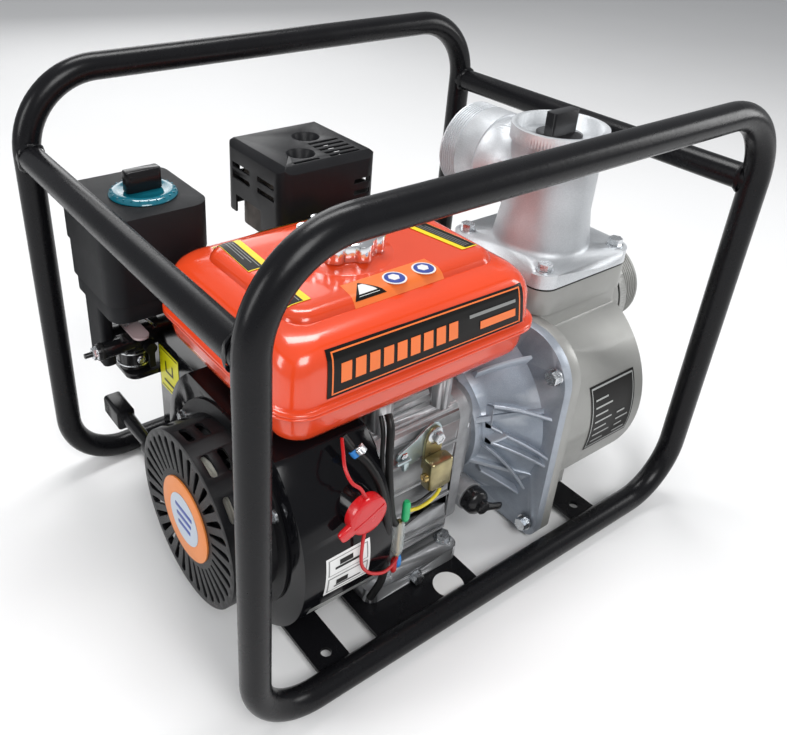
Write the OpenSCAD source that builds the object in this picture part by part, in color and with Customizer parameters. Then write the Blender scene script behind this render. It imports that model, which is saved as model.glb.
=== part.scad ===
// Portable 3 inch water pump: a recoil-start single-cylinder petrol engine that
// drives a self-priming centrifugal pump, held between two bent tube hoops.
// X runs along the crankshaft from the recoil starter to the suction port,
// Y runs from the service side to the cylinder side, and Z is up.
// The origin is on the ground at the middle of the frame.

/* [Frame] */
// Length of the frame over its tubes
frame_l = 557; // [540:1:600]
// Width of the frame over its tubes
frame_w = 412; // [400:1:440]
// Height of the frame over its tubes
frame_h = 455; // [450:1:500]
// Outside diameter of the frame tube
tube_d = 25; // [22:0.5:28]
// Bend radius of the two upper corners, to the middle of the tube
bend_top = 71; // [60:1:76]
// Bend radius of the two lower corners, to the middle of the tube
bend_low = 60; // [50:1:76]
// Height of the two cross bars above the ground
bar_z = 372; // [366:1:380]

/* [Engine] */
// Height of the crankshaft above the ground
crank_z = 120; // [118:0.5:124]
// Position of the crankshaft across the frame
crank_y = -54; // [-56:0.5:-50]
// Bore of the cylinder
bore_d = 68; // [64:0.5:70]
// Stroke of the piston
stroke = 45; // [40:0.5:46]
// Tilt of the cylinder above level
cyl_tilt = 25; // [20:1:28]

/* [Fuel tank] */
// Length of the tank over its seam
tank_l = 276; // [268:1:278]
// Width of the tank over its seam
tank_w = 219; // [210:1:220]
// Height of the tank seam above the ground
seam_z = 266; // [265:0.5:268]

/* [Pump] */
// Radius of the pump casing
casing_r = 116; // [112:0.5:118]
// Outside diameter of the two hose threads
port_d = 90; // [86:0.5:92]
// Bore of the two ports
port_bore = 72; // [66:0.5:74]
// Outside diameter of the impeller
impeller_d = 136; // [120:1:140]

/* [Hidden] */
$fn = 64;
tube_r = tube_d / 2;
hoop_x = frame_l / 2 - tube_r;
hoop_y = frame_w / 2 - tube_r;
hoop_z0 = tube_r;
hoop_z1 = frame_h - tube_r;
plate_z = 14;
strip_t = 4;
foot_x0 = -117;
foot_x1 = -4;
foot_y0 = -150;
foot_y1 = 40;
foot_t = 16;
foot_hole_r = 4.5;
foot_bolt_x = [-89, -14];
foot_bolt_y = [crank_y - 81, crank_y + 81];
block_x0 = -106;
block_x1 = -10;
cover_x1 = 30;
bell_x1 = 92;
shaft_r = 12.5;
pto_r = 10;
running = 0.05;
cyl_x = -60;
cyl_r = bore_d / 2;
head_d = 127;
port_up = 150;
head_port_y = crank_y + port_up * cos(cyl_tilt) - 15 * sin(cyl_tilt);
head_port_z = crank_z + port_up * sin(cyl_tilt) + 15 * cos(cyl_tilt);
post_at = [[-93, -114], [-25, -114], [-93, 8], [-25, 8]];
gear_m = 1.6;
crank_teeth = 22;
cam_teeth = 44;
crank_gear_r = gear_m * crank_teeth / 2;
cam_gear_r = gear_m * cam_teeth / 2;
cam_dist = crank_gear_r + cam_gear_r + 0.3;
cam_y = crank_y + cam_dist * 0.62;
cam_z = crank_z - cam_dist * sqrt(1 - 0.62 * 0.62);
recoil_x0 = -250;
shroud_x0 = -206;
shroud_r = 118;
tank_x0 = -213;
tank_y1 = 69;
tank_x1 = tank_x0 + tank_l;
tank_y0 = tank_y1 - tank_w;
tank_cx = (tank_x0 + tank_x1) / 2;
tank_cy = (tank_y0 + tank_y1) / 2;
cap_x = -84;
cap_y = -37;
panel_z = 327;
tower_x = 162;
tower_y = -50;
flange_z = 282;
flange_half = 66;
port_r = port_d / 2;
port_z = 347;
tower_top = 400;
suction_y = -57;
suction_z = 207;
casing_x1 = 222;
suction_x1 = 276;
plug_z = 387;
ac_x0 = -250;
ac_x1 = -146;
ac_y0 = 71.5;
ac_y1 = 178;
ac_z0 = 250;
ac_z1 = 345;
knob_x = -190;
knob_y = 120;
guard_x0 = -71;
guard_x1 = 43;
guard_y0 = 71.5;
guard_y1 = 182;
guard_z0 = 284;
guard_screw = [[-31, 102], [1, 140]];
guard_z1 = 359;
switch_face = -169;
switch_x = -151;
switch_z = 171;
dip_x = 16;
dip_z = 72;
handle_z = 129;

black = [0.05, 0.05, 0.06];
satin_black = [0.12, 0.12, 0.13];
cast = [0.62, 0.63, 0.64];
bell_cast = [0.55, 0.6, 0.66];
casing_paint = [0.55, 0.55, 0.52];
bright = [0.78, 0.8, 0.82];
zinc = [0.72, 0.75, 0.78];
steel = [0.5, 0.5, 0.52];
tank_red = [0.86, 0.24, 0.12];

// ---------- shared shapes ----------

// Cylinder along X from x0 to x1
module xcyl(x0, x1, y, z, r, r2 = -1) {
  translate([x0, y, z]) rotate([0, 90, 0]) cylinder(h = x1 - x0, r1 = r, r2 = r2 < 0 ? r : r2);
}

// Cylinder along Y from y0 to y1
module ycyl(y0, y1, x, z, r, r2 = -1) {
  translate([x, y0, z]) rotate([-90, 0, 0]) cylinder(h = y1 - y0, r1 = r, r2 = r2 < 0 ? r : r2);
}

// Cylinder along Z from z0 to z1
module zcyl(z0, z1, x, y, r, r2 = -1) {
  translate([x, y, z0]) cylinder(h = z1 - z0, r1 = r, r2 = r2 < 0 ? r : r2);
}

// Box between two corners
module box(x0, x1, y0, y1, z0, z1) {
  translate([x0, y0, z0]) cube([x1 - x0, y1 - y0, z1 - z0]);
}

// Flat rounded rectangle between two corners
module round_rect(x0, x1, y0, y1, r) {
  translate([x0 + r, y0]) square([x1 - x0 - 2 * r, y1 - y0]);
  translate([x0, y0 + r]) square([x1 - x0, y1 - y0 - 2 * r]);
  for (x = [x0 + r, x1 - r], y = [y0 + r, y1 - r]) translate([x, y]) circle(r);
}

// Upright block with rounded vertical edges
module zblock(x0, x1, y0, y1, z0, z1, r) {
  translate([0, 0, z0]) linear_extrude(z1 - z0) round_rect(x0, x1, y0, y1, r);
}

// Block along X with rounded long edges
module xblock(x0, x1, y0, y1, z0, z1, r) {
  translate([x0, 0, 0]) rotate([90, 0, 90]) linear_extrude(x1 - x0) round_rect(y0, y1, z0, z1, r);
}

// Children are placed in the cylinder's own frame: +Y runs up the bore from the crankshaft
module up_the_bore() {
  translate([cyl_x, crank_y, crank_z]) rotate([cyl_tilt, 0, 0]) children();
}

// Hexagon head bolt with a flange, its head towards +Z and its shank towards -Z
module flange_bolt(r, len) {
  translate([0, 0, -len]) cylinder(h = len, r = r);
  cylinder(h = 1.6, r = 2.1 * r);
  cylinder(h = 2 * r, r = 1.75 * r, $fn = 6);
}

// Tube swept along points p, with a radius r and a given number of sides
function unit(v) = v / norm(v);
function tangent(p, i) = unit(p[min(i + 1, len(p) - 1)] - p[max(i - 1, 0)]);
function side_of(t) = unit(cross(t, abs(t[2]) > 0.8 ? [1, 0, 0] : [0, 0, 1]));
function carried(p, i) = i == 0 ? side_of(tangent(p, 0))
  : let (s = carried(p, i - 1), t = tangent(p, i)) unit(s - t * (s * t));
function curve_at(p, i, f) = let (
    a = p[max(i - 1, 0)], b = p[i], c = p[i + 1], d = p[min(i + 2, len(p) - 1)])
  0.5 * (2 * b + (c - a) * f + (2 * a - 5 * b + 4 * c - d) * f * f
    + (3 * b - a - 3 * c + d) * f * f * f);
function smooth_route(p, n) = concat([for (i = [0 : len(p) - 2], k = [0 : n - 1])
  curve_at(p, i, k / n)], [p[len(p) - 1]]);

module swept_tube(p, r, sides = 8) {
  n = len(p);
  rings = [for (i = [0 : n - 1], k = [0 : sides - 1])
    let (t = tangent(p, i), s = carried(p, i), u = cross(t, s), a = 360 * k / sides)
    p[i] + r * (cos(a) * s + sin(a) * u)];
  walls = [for (i = [0 : n - 2], k = [0 : sides - 1]) let (m = (k + 1) % sides)
    [i * sides + k, i * sides + m, (i + 1) * sides + m, (i + 1) * sides + k]];
  ends = [[for (k = [sides - 1 : -1 : 0]) k],
    [for (k = [0 : sides - 1]) (n - 1) * sides + k]];
  polyhedron(points = rings, faces = concat([for (f = concat(walls, ends))
    [for (k = [len(f) - 1 : -1 : 0]) f[k]]]), convexity = 6);
}

// Spur gear outline with straight-flanked teeth; turn moves the first tooth
module gear(teeth, x0, x1, turn) {
  pitch_r = gear_m * teeth / 2;
  root_r = pitch_r - 1.25 * gear_m;
  tip_r = pitch_r + 0.85 * gear_m;
  step = 360 / teeth;
  translate([x0, 0, 0]) rotate([90, 0, 90]) linear_extrude(x1 - x0)
    polygon([for (i = [0 : teeth - 1], c = [[root_r, -0.34], [tip_r, -0.12], [tip_r, 0.12],
      [root_r, 0.34]]) let (a = turn + step * (i + c[1])) c[0] * [cos(a), sin(a)]]);
}

// ---------- frame ----------

// One quarter bend of the hoop tube, in the XZ plane, starting at a given angle
module bend(x, z, start, r) {
  translate([x, 0, z]) rotate([90, 0, 0]) rotate([0, 0, start])
    rotate_extrude(angle = 90) translate([r, 0]) circle(tube_r);
}

// Closed hoop of bent tube, standing in the XZ plane
module hoop(y) {
  low_x = hoop_x - bend_low;
  top_x = hoop_x - bend_top;
  translate([0, y, 0]) {
    xcyl(-low_x, low_x, 0, hoop_z0, tube_r);
    xcyl(-top_x, top_x, 0, hoop_z1, tube_r);
    for (x = [-hoop_x, hoop_x]) zcyl(hoop_z0 + bend_low, hoop_z1 - bend_top, x, 0, tube_r);
    bend(top_x, hoop_z1 - bend_top, 0, bend_top);
    bend(-top_x, hoop_z1 - bend_top, 90, bend_top);
    bend(-low_x, hoop_z0 + bend_low, 180, bend_low);
    bend(low_x, hoop_z0 + bend_low, 270, bend_low);
  }
}

module near_hoop() {
  color(black) hoop(-hoop_y);
}

module far_hoop() {
  color(black) hoop(hoop_y);
}

module both_hoops() {
  hoop(-hoop_y);
  hoop(hoop_y);
}

module cross_bars() {
  color(black) difference() {
    for (x = [-hoop_x, hoop_x]) ycyl(-hoop_y, hoop_y, x, bar_z, tube_r - 0.5);
    both_hoops();
  }
}

module engine_plate() {
  color(black) difference() {
    box(-130, -7, -hoop_y + 10, hoop_y - 10, plate_z - strip_t, plate_z);
    both_hoops();
    for (x = foot_bolt_x, y = foot_bolt_y) zcyl(0, 40, x, y, foot_hole_r);
    zcyl(0, 40, -62, crank_y, 18);
  }
}

module end_strips() {
  color(black) difference() {
    for (x = [-178, 151]) box(x - 16.5, x + 16.5, -hoop_y + 10, hoop_y - 10, plate_z - strip_t, plate_z);
    both_hoops();
    for (x = [-178, 151], y = [-167, 167]) zcyl(0, 40, x, y, 5);
    for (y = [crank_y - 62, crank_y + 62]) zcyl(0, 40, 151, y, 4.5);
  }
}

// ---------- engine block ----------

module bore_fins(d0, count, pitch, half_x, z0, z1) {
  for (i = [0 : count - 1])
    translate([0, d0 + i * pitch, 0]) rotate([-90, 0, 0])
      linear_extrude(3) round_rect(-half_x, half_x, -z1, -z0, 10);
}

module crankcase() {
  color(cast) difference() {
    union() {
      xblock(block_x0, block_x1, -132, 28, 26, 196, 20);
      xblock(-96, -22, -118, 10, 180, 214, 14);
      zblock(foot_x0, foot_x1, foot_y0, foot_y1, plate_z, plate_z + foot_t, 10);
      xcyl(-119, block_x0 + 1, crank_y, crank_z, 36);
      up_the_bore() {
        ycyl(60, head_d, 0, 0, cyl_r + 9);
        bore_fins(94, 4, 8, 46, -52, 52);
        translate([0, head_d - 8, 0]) rotate([-90, 0, 0])
          linear_extrude(8) round_rect(-44, 44, -46, 46, 12);
      }
      for (p = post_at) zcyl(186, seam_z - 42, p[0], p[1], 12);
      for (z = [60, 92, 124, 156]) xblock(block_x0 + 6, block_x1 - 4, -136, -128, z - 2, z + 2, 1.9);
      ycyl(-140, -128, -88, 60, 9);
    }
    xblock(block_x0 + 8, block_x1 + 1, -122, 17, 38, 184, 14);
    up_the_bore() ycyl(30, head_d + 1, 0, 0, cyl_r);
    xcyl(-113, -90, crank_y, crank_z, 26);
    xcyl(-125, -90, crank_y, crank_z, 17);
    xcyl(block_x0 + 3, -90, cam_y, cam_z, 6.1);
    for (x = foot_bolt_x, y = foot_bolt_y) {
      zcyl(0, 40, x, y, foot_hole_r);
      zcyl(plate_z + foot_t, 40, x, y, 9.2);
    }
    ycyl(foot_y0 - 1, foot_y0 + 17, -62, 22, 3.75);
    ycyl(foot_y1 - 17, foot_y1 + 1, -62, 22, 3.75);
  }
}

module side_cover() {
  color(cast) difference() {
    union() {
      xblock(block_x1, 2, -132, 28, 40.5, 196, 20);
      xblock(0, 24, -116, 16, 46, 182, 22);
      xcyl(10, cover_x1, crank_y, crank_z, 60);
      ycyl(-136, -112, dip_x, dip_z, 15);
      for (a = [45, 135, 225, 315]) rotate_about_crank(a) xcyl(4, cover_x1 - 2, 56, 0, 11);
    }
    xblock(block_x1 - 1, 6, -110, 10, 52, 176, 16);
    xcyl(0, 25, crank_y, crank_z, 26);
    xcyl(0, cover_x1 + 1, crank_y, crank_z, 17);
    xcyl(block_x1 - 1, 12, cam_y, cam_z, 6.1);
    ycyl(-140, -103, dip_x, dip_z, 8.5);
    ycyl(-104, -64, dip_x, dip_z, 4.2);
    box(block_x1 + 0.5, 15, -86, -67, 66, 78);
    for (a = [45, 135, 225, 315]) rotate_about_crank(a) xcyl(12, cover_x1 + 1, 56, 0, 4.05);
    for (y = [-124.5, 22], z = [100, 160]) xcyl(block_x1 - 1, 3, y, z, 2.75);
  }
}

// Turns children about the crankshaft; their own y is the distance from it
module rotate_about_crank(a) {
  translate([0, crank_y, crank_z]) rotate([a, 0, 0]) children();
}

module cylinder_head() {
  color(cast) up_the_bore() difference() {
    union() {
      translate([0, head_d, 0]) rotate([-90, 0, 0]) linear_extrude(38) round_rect(-42, 42, -44, 44, 12);
      bore_fins(head_d + 2, 4, 9, 46, -52, 52);
      xcyl(40, 50, port_up, 15, 16);
      xcyl(-58, -40, port_up, 15, 16);
    }
    ycyl(head_d - 1, head_d + 9, 0, 0, 30);
    xcyl(20, 51, port_up, 15, 11);
    xcyl(-59, -20, port_up, 15, 11);
    for (x = [-20, 20]) ycyl(head_d - 1, port_up, x, 15, 9);
    xcyl(20, 60, head_d + 16, -20, 4.95);
    for (x = [-34, 34], z = [-36, 36]) ycyl(head_d - 1, head_d + 50, x, z, 4);
  }
}

module rocker_cover() {
  color(bright) up_the_bore() difference() {
    union() {
      translate([0, head_d + 38, 0]) rotate([-90, 0, 0]) linear_extrude(4) round_rect(-38, 38, -40, 40, 10);
      translate([0, head_d + 42, 0]) rotate([-90, 0, 0]) linear_extrude(20) round_rect(-25, 25, -27, 27, 8);
    }
    translate([0, head_d + 37, 0]) rotate([-90, 0, 0]) linear_extrude(22) round_rect(-22, 22, -24, 24, 6);
    for (x = [-34, 34], z = [-36, 36]) ycyl(head_d + 30, head_d + 50, x, z, 4);
  }
}

module spark_plug() {
  color("white") up_the_bore() translate([0, head_d + 16, -20]) {
    xcyl(30, 46.2, 0, 0, 4.9);
    xcyl(46.2, 52, 0, 0, 9);
    xcyl(52, 64, 0, 0, 5);
  }
}

module plug_cap() {
  color(black) up_the_bore() translate([0, head_d + 16, -20]) difference() {
    union() {
      xcyl(53, 78, 0, 0, 9);
      ycyl(0, 16, 70, 0, 7);
    }
    xcyl(52, 64.2, 0, 0, 5);
  }
}

module foot_bolts() {
  color(zinc) for (x = foot_bolt_x, y = foot_bolt_y)
    translate([x, y, plate_z + foot_t]) flange_bolt(4, foot_t + strip_t + 6);
}

// Head bolts, bell bolts and recoil bolts, all of one size
module engine_bolts() {
  color(zinc) {
    for (a = [45, 135, 225, 315]) rotate_about_crank(a)
      translate([cover_x1 + 8, 56, 0]) rotate([0, 90, 0]) flange_bolt(4, 24);
    up_the_bore() for (x = [-34, 34], z = [-36, 36])
      translate([x, head_d + 42, z]) rotate([-90, 0, 0]) flange_bolt(3.9, 30);
    for (a = [30, 150, 270]) rotate_about_crank(a)
      translate([shroud_x0 - 3, 88.6, 0]) rotate([0, -90, 0]) flange_bolt(2.9, 3);
    for (y = [-124.5, 22], z = [100, 160])
      translate([2, y, z]) rotate([0, 90, 0]) flange_bolt(2.7, 11.9);
  }
}

module oil_drain_plugs() {
  color(zinc) {
    translate([-62, foot_y0, 22]) rotate([90, 0, 0]) flange_bolt(3.7, 16);
    translate([-62, foot_y1, 22]) rotate([-90, 0, 0]) flange_bolt(3.7, 16);
  }
}

module main_bearings() {
  color(steel) for (x = [-112, 9.5]) difference() {
    xcyl(x, x + 15, crank_y, crank_z, 25.98);
    xcyl(x - 1, x + 16, crank_y, crank_z, shaft_r + running);
  }
}

module oil_seals() {
  color("saddlebrown") for (x = [-118.5, 25]) difference() {
    xcyl(x, x + 5, crank_y, crank_z, 16.9);
    xcyl(x - 1, x + 6, crank_y, crank_z, x > 0 ? pto_r + running : shaft_r + running);
  }
}

// ---------- turning parts of the engine ----------

module crank_web(x) {
  translate([x, crank_y, crank_z]) rotate([90, 0, 90]) linear_extrude(10) difference() {
    circle(38.5);
    for (s = [-1, 1]) rotate(cyl_tilt) translate([14, s * 34 - 14]) square([40, 28]);
  }
}

module crankshaft() {
  color(steel) {
    xcyl(-124, -82, crank_y, crank_z, shaft_r);
    crank_web(-83);
    up_the_bore() xcyl(-14, 14, stroke / 2, 0, 15);
    crank_web(-47);
    xcyl(-38, 24.5, crank_y, crank_z, shaft_r);
    xcyl(24.5, 132, crank_y, crank_z, pto_r);
    xcyl(-148, -124, crank_y, crank_z, 8, shaft_r);
    xcyl(-180, -148, crank_y, crank_z, 7);
    translate([0, crank_y, crank_z]) gear(crank_teeth, -34, -25, 0);
  }
}

module flywheel() {
  color(cast) difference() {
    union() {
      xcyl(-150, -122, crank_y, crank_z, 24);
      xcyl(-152, -144, crank_y, crank_z, 84);
      difference() {
        xcyl(-152, -126, crank_y, crank_z, 84);
        xcyl(-144, -120, crank_y, crank_z, 72);
      }
    }
    xcyl(-148, -124, crank_y, crank_z, 8.05, 12.55);
    xcyl(-124.1, -120, crank_y, crank_z, 12.6);
    xcyl(-160, -147, crank_y, crank_z, 7.05);
  }
}

module cooling_fan() {
  color(satin_black) {
    difference() {
      xcyl(-155, -152, crank_y, crank_z, 88);
      xcyl(-156, -151, crank_y, crank_z, 34);
    }
    for (i = [0 : 15]) rotate_about_crank(i * 22.5)
      box(-176, -154, 52, 86, -1.5, 1.5);
  }
}

module starter_cup() {
  color(steel) {
    difference() {
      xcyl(-184, -152, crank_y, crank_z, 30);
      xcyl(-185, -156, crank_y, crank_z, 27);
      xcyl(-160, -150, crank_y, crank_z, 7.05);
    }
    difference() {
      translate([-156, crank_y, crank_z]) rotate([0, -90, 0]) cylinder(h = 11, r = 13, $fn = 6);
      xcyl(-170, -150, crank_y, crank_z, 7.05);
    }
  }
}

module camshaft() {
  color(steel) {
    xcyl(block_x0 + 5, 10, cam_y, cam_z, 6.05);
    translate([0, cam_y, cam_z]) gear(cam_teeth, -34, -25, 360 / cam_teeth / 2 + cam_mesh);
    for (k = [[-72, 60], [-58, 190]]) translate([k[0], cam_y, cam_z]) rotate([k[1], 0, 0])
      hull() {
        rotate([0, 90, 0]) cylinder(h = 7, r = 8.5, $fn = 32);
        translate([0, 4, 0]) rotate([0, 90, 0]) cylinder(h = 7, r = 6, $fn = 32);
      }
  }
}
cam_dir = atan2(cam_z - crank_z, cam_y - crank_y);
cam_mesh = cam_dir + 180 + (cam_dir * crank_teeth / cam_teeth);

module piston() {
  wrist = stroke / 2 + 84;
  color(cast) up_the_bore() {
    difference() {
      ycyl(wrist - 22, wrist + 19, 0, 0, cyl_r - running);
      ycyl(wrist - 23, wrist + 12, 0, 0, cyl_r - 5);
      for (d = [wrist + 5, wrist + 9.5, wrist + 14]) translate([0, d, 0]) rotate([-90, 0, 0]) difference() {
        cylinder(h = 2, r = cyl_r + 1);
        translate([0, 0, -1]) cylinder(h = 4, r = cyl_r - 2.5);
      }
    }
    for (s = [-1, 1]) xcyl(s * 24 - 7, s * 24 + 7, wrist, 0, 12);
    xcyl(-27, 27, wrist, 0, 9);
  }
}

module ignition_coil() {
  color(satin_black) {
    xblock(-148, -128, 34, 60, 104, 136, 5);
    xblock(-143, -133, 31.5, 40, 92, 148, 2);
  }
}

// ---------- shroud and starter ----------

module drum_outline(inset) {
  intersection() {
    translate([crank_y, crank_z]) circle(shroud_r - inset);
    translate([-300, 20 + inset]) square([600, 194 - 2 * inset]);
  }
}

module duct_outline(inset) {
  translate([crank_y, 88 + inset]) square([168 - inset, 110 - 2 * inset]);
}

module shroud_layer(x0, drum_x1, duct_x1, inset) {
  translate([x0, 0, 0]) rotate([90, 0, 90]) linear_extrude(drum_x1 - x0) drum_outline(inset);
  translate([x0 + 16, 0, 0]) rotate([90, 0, 90]) linear_extrude(duct_x1 - x0 - 16) duct_outline(inset);
}

module fan_shroud() {
  color(black) difference() {
    union() {
      shroud_layer(shroud_x0, -117.5, -133.5, 0);
      ycyl(switch_face, -120, switch_x, switch_z, 15);
    }
    shroud_layer(shroud_x0 + 2, -110, -133, 2);
    xcyl(shroud_x0 - 1, shroud_x0 + 3, crank_y, crank_z, 74);
    for (a = [30, 150, 270]) rotate_about_crank(a) xcyl(-210, -200, 88.6, 0, 2.95);
  }
}

module recoil_cover() {
  color(satin_black) difference() {
    union() {
      xcyl(recoil_x0, shroud_x0, crank_y, crank_z, 82);
      xcyl(shroud_x0 - 3, shroud_x0, crank_y, crank_z, 95);
      ycyl(crank_y + 76, crank_y + 96, -238, handle_z, 9);
    }
    xcyl(recoil_x0 + 3, shroud_x0 + 1, crank_y, crank_z, 79);
    ycyl(crank_y + 60, crank_y + 97, -238, handle_z, 3.4);
    for (i = [0 : 31]) rotate_about_crank(i * 11.25) translate([recoil_x0 - 1, 0, 0]) rotate([90, 0, 90])
      linear_extrude(5) polygon([[46, -1.3], [72, -5.4], [75.5, -3.6], [76.5, -0.6], [75, 1.4], [46, 1.5]]);
    for (i = [1 : 12], x = [-240, -225]) rotate_about_crank(i * 360 / 13) translate([x, 72, 0])
      rotate([-90, 0, 0]) linear_extrude(14) polygon([[-3.4, -8], [-2.9, -9.7], [-1.4, -11], [1.4, -11],
        [2.9, -9.7], [3.4, -8], [3.4, 8], [2.9, 9.7], [1.4, 11], [-1.4, 11], [-2.9, 9.7], [-3.4, 8]]);
    for (a = [30, 150, 270]) rotate_about_crank(a) xcyl(-215, -200, 88.6, 0, 2.95);
  }
  color(satin_black) xcyl(recoil_x0 + 3, -222, crank_y, crank_z, 10);
}

module recoil_reel() {
  color([0.2, 0.2, 0.22]) difference() {
    union() {
      xcyl(-244, -241, crank_y, crank_z, 62);
      xcyl(-241, -222, crank_y, crank_z, 44);
      xcyl(-222, -219, crank_y, crank_z, 62);
    }
    xcyl(-245, -218, crank_y, crank_z, 10 + running);
    xcyl(-236, -218, crank_y, crank_z, 34);
  }
  color(steel) for (a = [80, 260]) rotate_about_crank(a) box(-226, -205, 35, 40, -6, 6);
}

// Rope: the turns wound on the reel
module starter_rope() {
  color("ivory") for (i = [0 : 3]) translate([-238.6 + 4.75 * i, crank_y, crank_z])
    rotate([0, 90, 0]) rotate_extrude() translate([46.5, 0]) circle(2.3, $fn = 24);
}

module starter_handle() {
  y0 = crank_y + 96.5;
  color(black) difference() {
    union() {
      ycyl(y0, 91, -238, handle_z, 5.5, 7);
      translate([0, 90, 0]) rotate([-90, 0, 0]) linear_extrude(32) translate([0, -handle_z])
        round_rect(-249, -231, -11, 11, 4);
    }
    ycyl(y0 - 1, 100, -238, handle_z, 2.6);
  }
  color("ivory") ycyl(crank_y + 66, 100, -238, handle_z, 2.6);
}

// ---------- fuel, air and exhaust ----------

module carburettor() {
  color(cast) difference() {
    union() {
      xblock(-222, -194, 116, 150, 180, 210, 6);
      xcyl(-232.6, -184, 130, 195, 15);
      xcyl(-185, -130, 130, 195, 12);
      xblock(-131, -118.3, 60, 146, 178, 213, 14);
      zcyl(160, 181, -208, 135, 17);
      zcyl(156, 161, -208, 135, 5);
    }
    xcyl(-233, -124, 130, 195, 9);
    xblock(-128, -121, 66, 141, 184, 207, 8);
    xcyl(-125, -118, head_port_y, head_port_z, 10);
  }
  color(satin_black) {
    zblock(-222, -152, 114.8, 170, 151, 156.5, 12);
    xblock(-232.7, -221, 97, 117, 199, 210, 4);
    xcyl(-256, -232.5, 104, 204.5, 8);
  }
  color(zinc) xcyl(-268, -255.8, 104, 204.5, 2.5);
}

module fuel_lever() {
  color(satin_black) {
    ycyl(107, 114.7, -200, 187, 6);
    box(-203, -197, 107, 110, 166, 187);
  }
}

module choke_lever() {
  color([0.75, 0.55, 0.55]) {
    zcyl(210.4, 214, -215, 130, 4);
    zblock(-223, -207, 88, 138, 213.2, 215.7, 7.9);
  }
}

module governor_arm() {
  color(zinc) {
    zcyl(214.3, 224, -60, -70, 4);
    zblock(-115, -54, -76, -64, 218, 221, 5.9);
  }
}

module air_cleaner_base() {
  color(satin_black) difference() {
    union() {
      zblock(ac_x0 + 4, ac_x1 - 4, ac_y0 + 4, ac_y1 - 4, 244, 261.8, 16);
      zblock(-246, -233, 114, 150, 178, 246, 5);
    }
    zblock(ac_x0 + 7, ac_x1 - 7, ac_y0 + 7, ac_y1 - 7, 248, 263, 14);
    zblock(-243.5, -235.5, 118, 146, 182, 249, 3);
    xcyl(-237, -232, 130, 195, 9);
  }
}

module air_cleaner_cover() {
  color(satin_black) difference() {
    union() {
      zblock(ac_x0, ac_x1, ac_y0, ac_y1, 300, ac_z1, 18);
      zblock(ac_x0 + 1.5, ac_x1 - 1.5, ac_y0 + 1.5, ac_y1 - 1.5, 262, 301, 18);
    }
    zblock(ac_x0 + 6, ac_x1 - 6, ac_y0 + 6, ac_y1 - 6, 261, ac_z1 - 3, 15);
    zcyl(ac_z1 - 10, ac_z1 + 1, knob_x, knob_y, 6);
  }
}

module air_filter() {
  color([0.85, 0.75, 0.3]) difference() {
    zblock(ac_x0 + 14, ac_x1 - 14, ac_y0 + 16, ac_y1 - 16, 263, 325, 16);
    zblock(ac_x0 + 28, ac_x1 - 28, ac_y0 + 30, ac_y1 - 30, 262, 326, 10);
  }
}

module filter_knob() {
  color([0.1, 0.45, 0.55]) difference() {
    zcyl(ac_z1 + 0.3, ac_z1 + 6, knob_x, knob_y, 31, 27);
    zcyl(ac_z1 + 4, ac_z1 + 7, knob_x, knob_y, 24);
  }
  color(black) {
    zcyl(ac_z1 - 14, ac_z1 + 4, knob_x, knob_y, 5.7);
    zblock(knob_x - 17, knob_x + 17, knob_y - 6, knob_y + 6, ac_z1 + 4, ac_z1 + 24, 2);
  }
}

module muffler() {
  color([0.3, 0.27, 0.25]) difference() {
    union() {
      zblock(-64, 28, 84, 170, 272, 334, 20);
      ycyl(164, 176, 0, 300, 8);
      for (p = guard_screw) zcyl(333, 343.5, p[0], p[1], 6);
      zcyl(205, 273, 7, 106, 11);
      xblock(-9.8, 22, 60, 120, 184.5, 213, 10);
    }
    zblock(-62, 26, 86, 168, 274, 332, 18);
    ycyl(162, 177, 0, 300, 6);
    zcyl(200, 280, 7, 106, 9);
    xblock(-7, 19.5, 62.5, 117.5, 187, 210.5, 8);
    xcyl(-11, -5, head_port_y, head_port_z, 9);
    for (p = guard_screw) zcyl(330, 344, p[0], p[1], 2.5);
  }
}

module guard_body(inset) {
  x0 = guard_x0 + inset;
  x1 = guard_x1 - inset;
  y0 = guard_y0 + inset;
  y1 = guard_y1 - inset;
  z1 = guard_z1 - inset;
  c = 7;
  intersection() {
    zblock(x0, x1, y0, y1, guard_z0 - inset, z1, 14 - inset);
    translate([0, y1, 0]) rotate([90, 0, 0]) linear_extrude(y1 - y0)
      polygon([[x0, 0], [x1, 0], [x1, z1 - c], [x1 - c, z1], [x0 + c, z1], [x0, z1 - c]]);
    translate([x0, 0, 0]) rotate([90, 0, 90]) linear_extrude(x1 - x0)
      polygon([[y0, 0], [y1, 0], [y1, z1 - c], [y1 - c, z1], [y0 + c, z1], [y0, z1 - c]]);
  }
}

module muffler_guard() {
  color(satin_black) difference() {
    union() {
      difference() {
        guard_body(0);
        guard_body(2);
      }
      for (p = guard_screw) zcyl(344, guard_z1 - 0.5, p[0], p[1], 10.8, 16.2);
    }
    for (p = guard_screw) {
      zcyl(346, guard_z1 + 0.4, p[0], p[1], 8.5, 14.6);
      zcyl(340, guard_z1, p[0], p[1], 3);
    }
    for (y = [82, 90.5, 100, 109.5, 119]) box(-10, 26, y - 2.2, y + 2.2, guard_z1 - 5, guard_z1 + 1);
    box(-52, -23, 79.8, 84.2, guard_z1 - 5, guard_z1 + 1);
    for (z = [320.5, 332.5], y = [[88, 118], [133, 166]]) box(guard_x0 - 1, guard_x1 + 1, y[0], y[1], z, z + 5);
    box(guard_x0 - 1, guard_x0 + 4, 112, 160, guard_z0 - 1, 303);
    for (z = [315.5, 327.5]) box(14, 34, guard_y0 - 1, guard_y0 + 4, z, z + 5);
    for (z = [320.5, 332.5], x = [-54, -26, 2]) box(x, x + 20, guard_y1 - 4, guard_y1 + 1, z, z + 5);
    ycyl(guard_y1 - 4, guard_y1 + 1, 0, 300, 10);
  }
}

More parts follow.
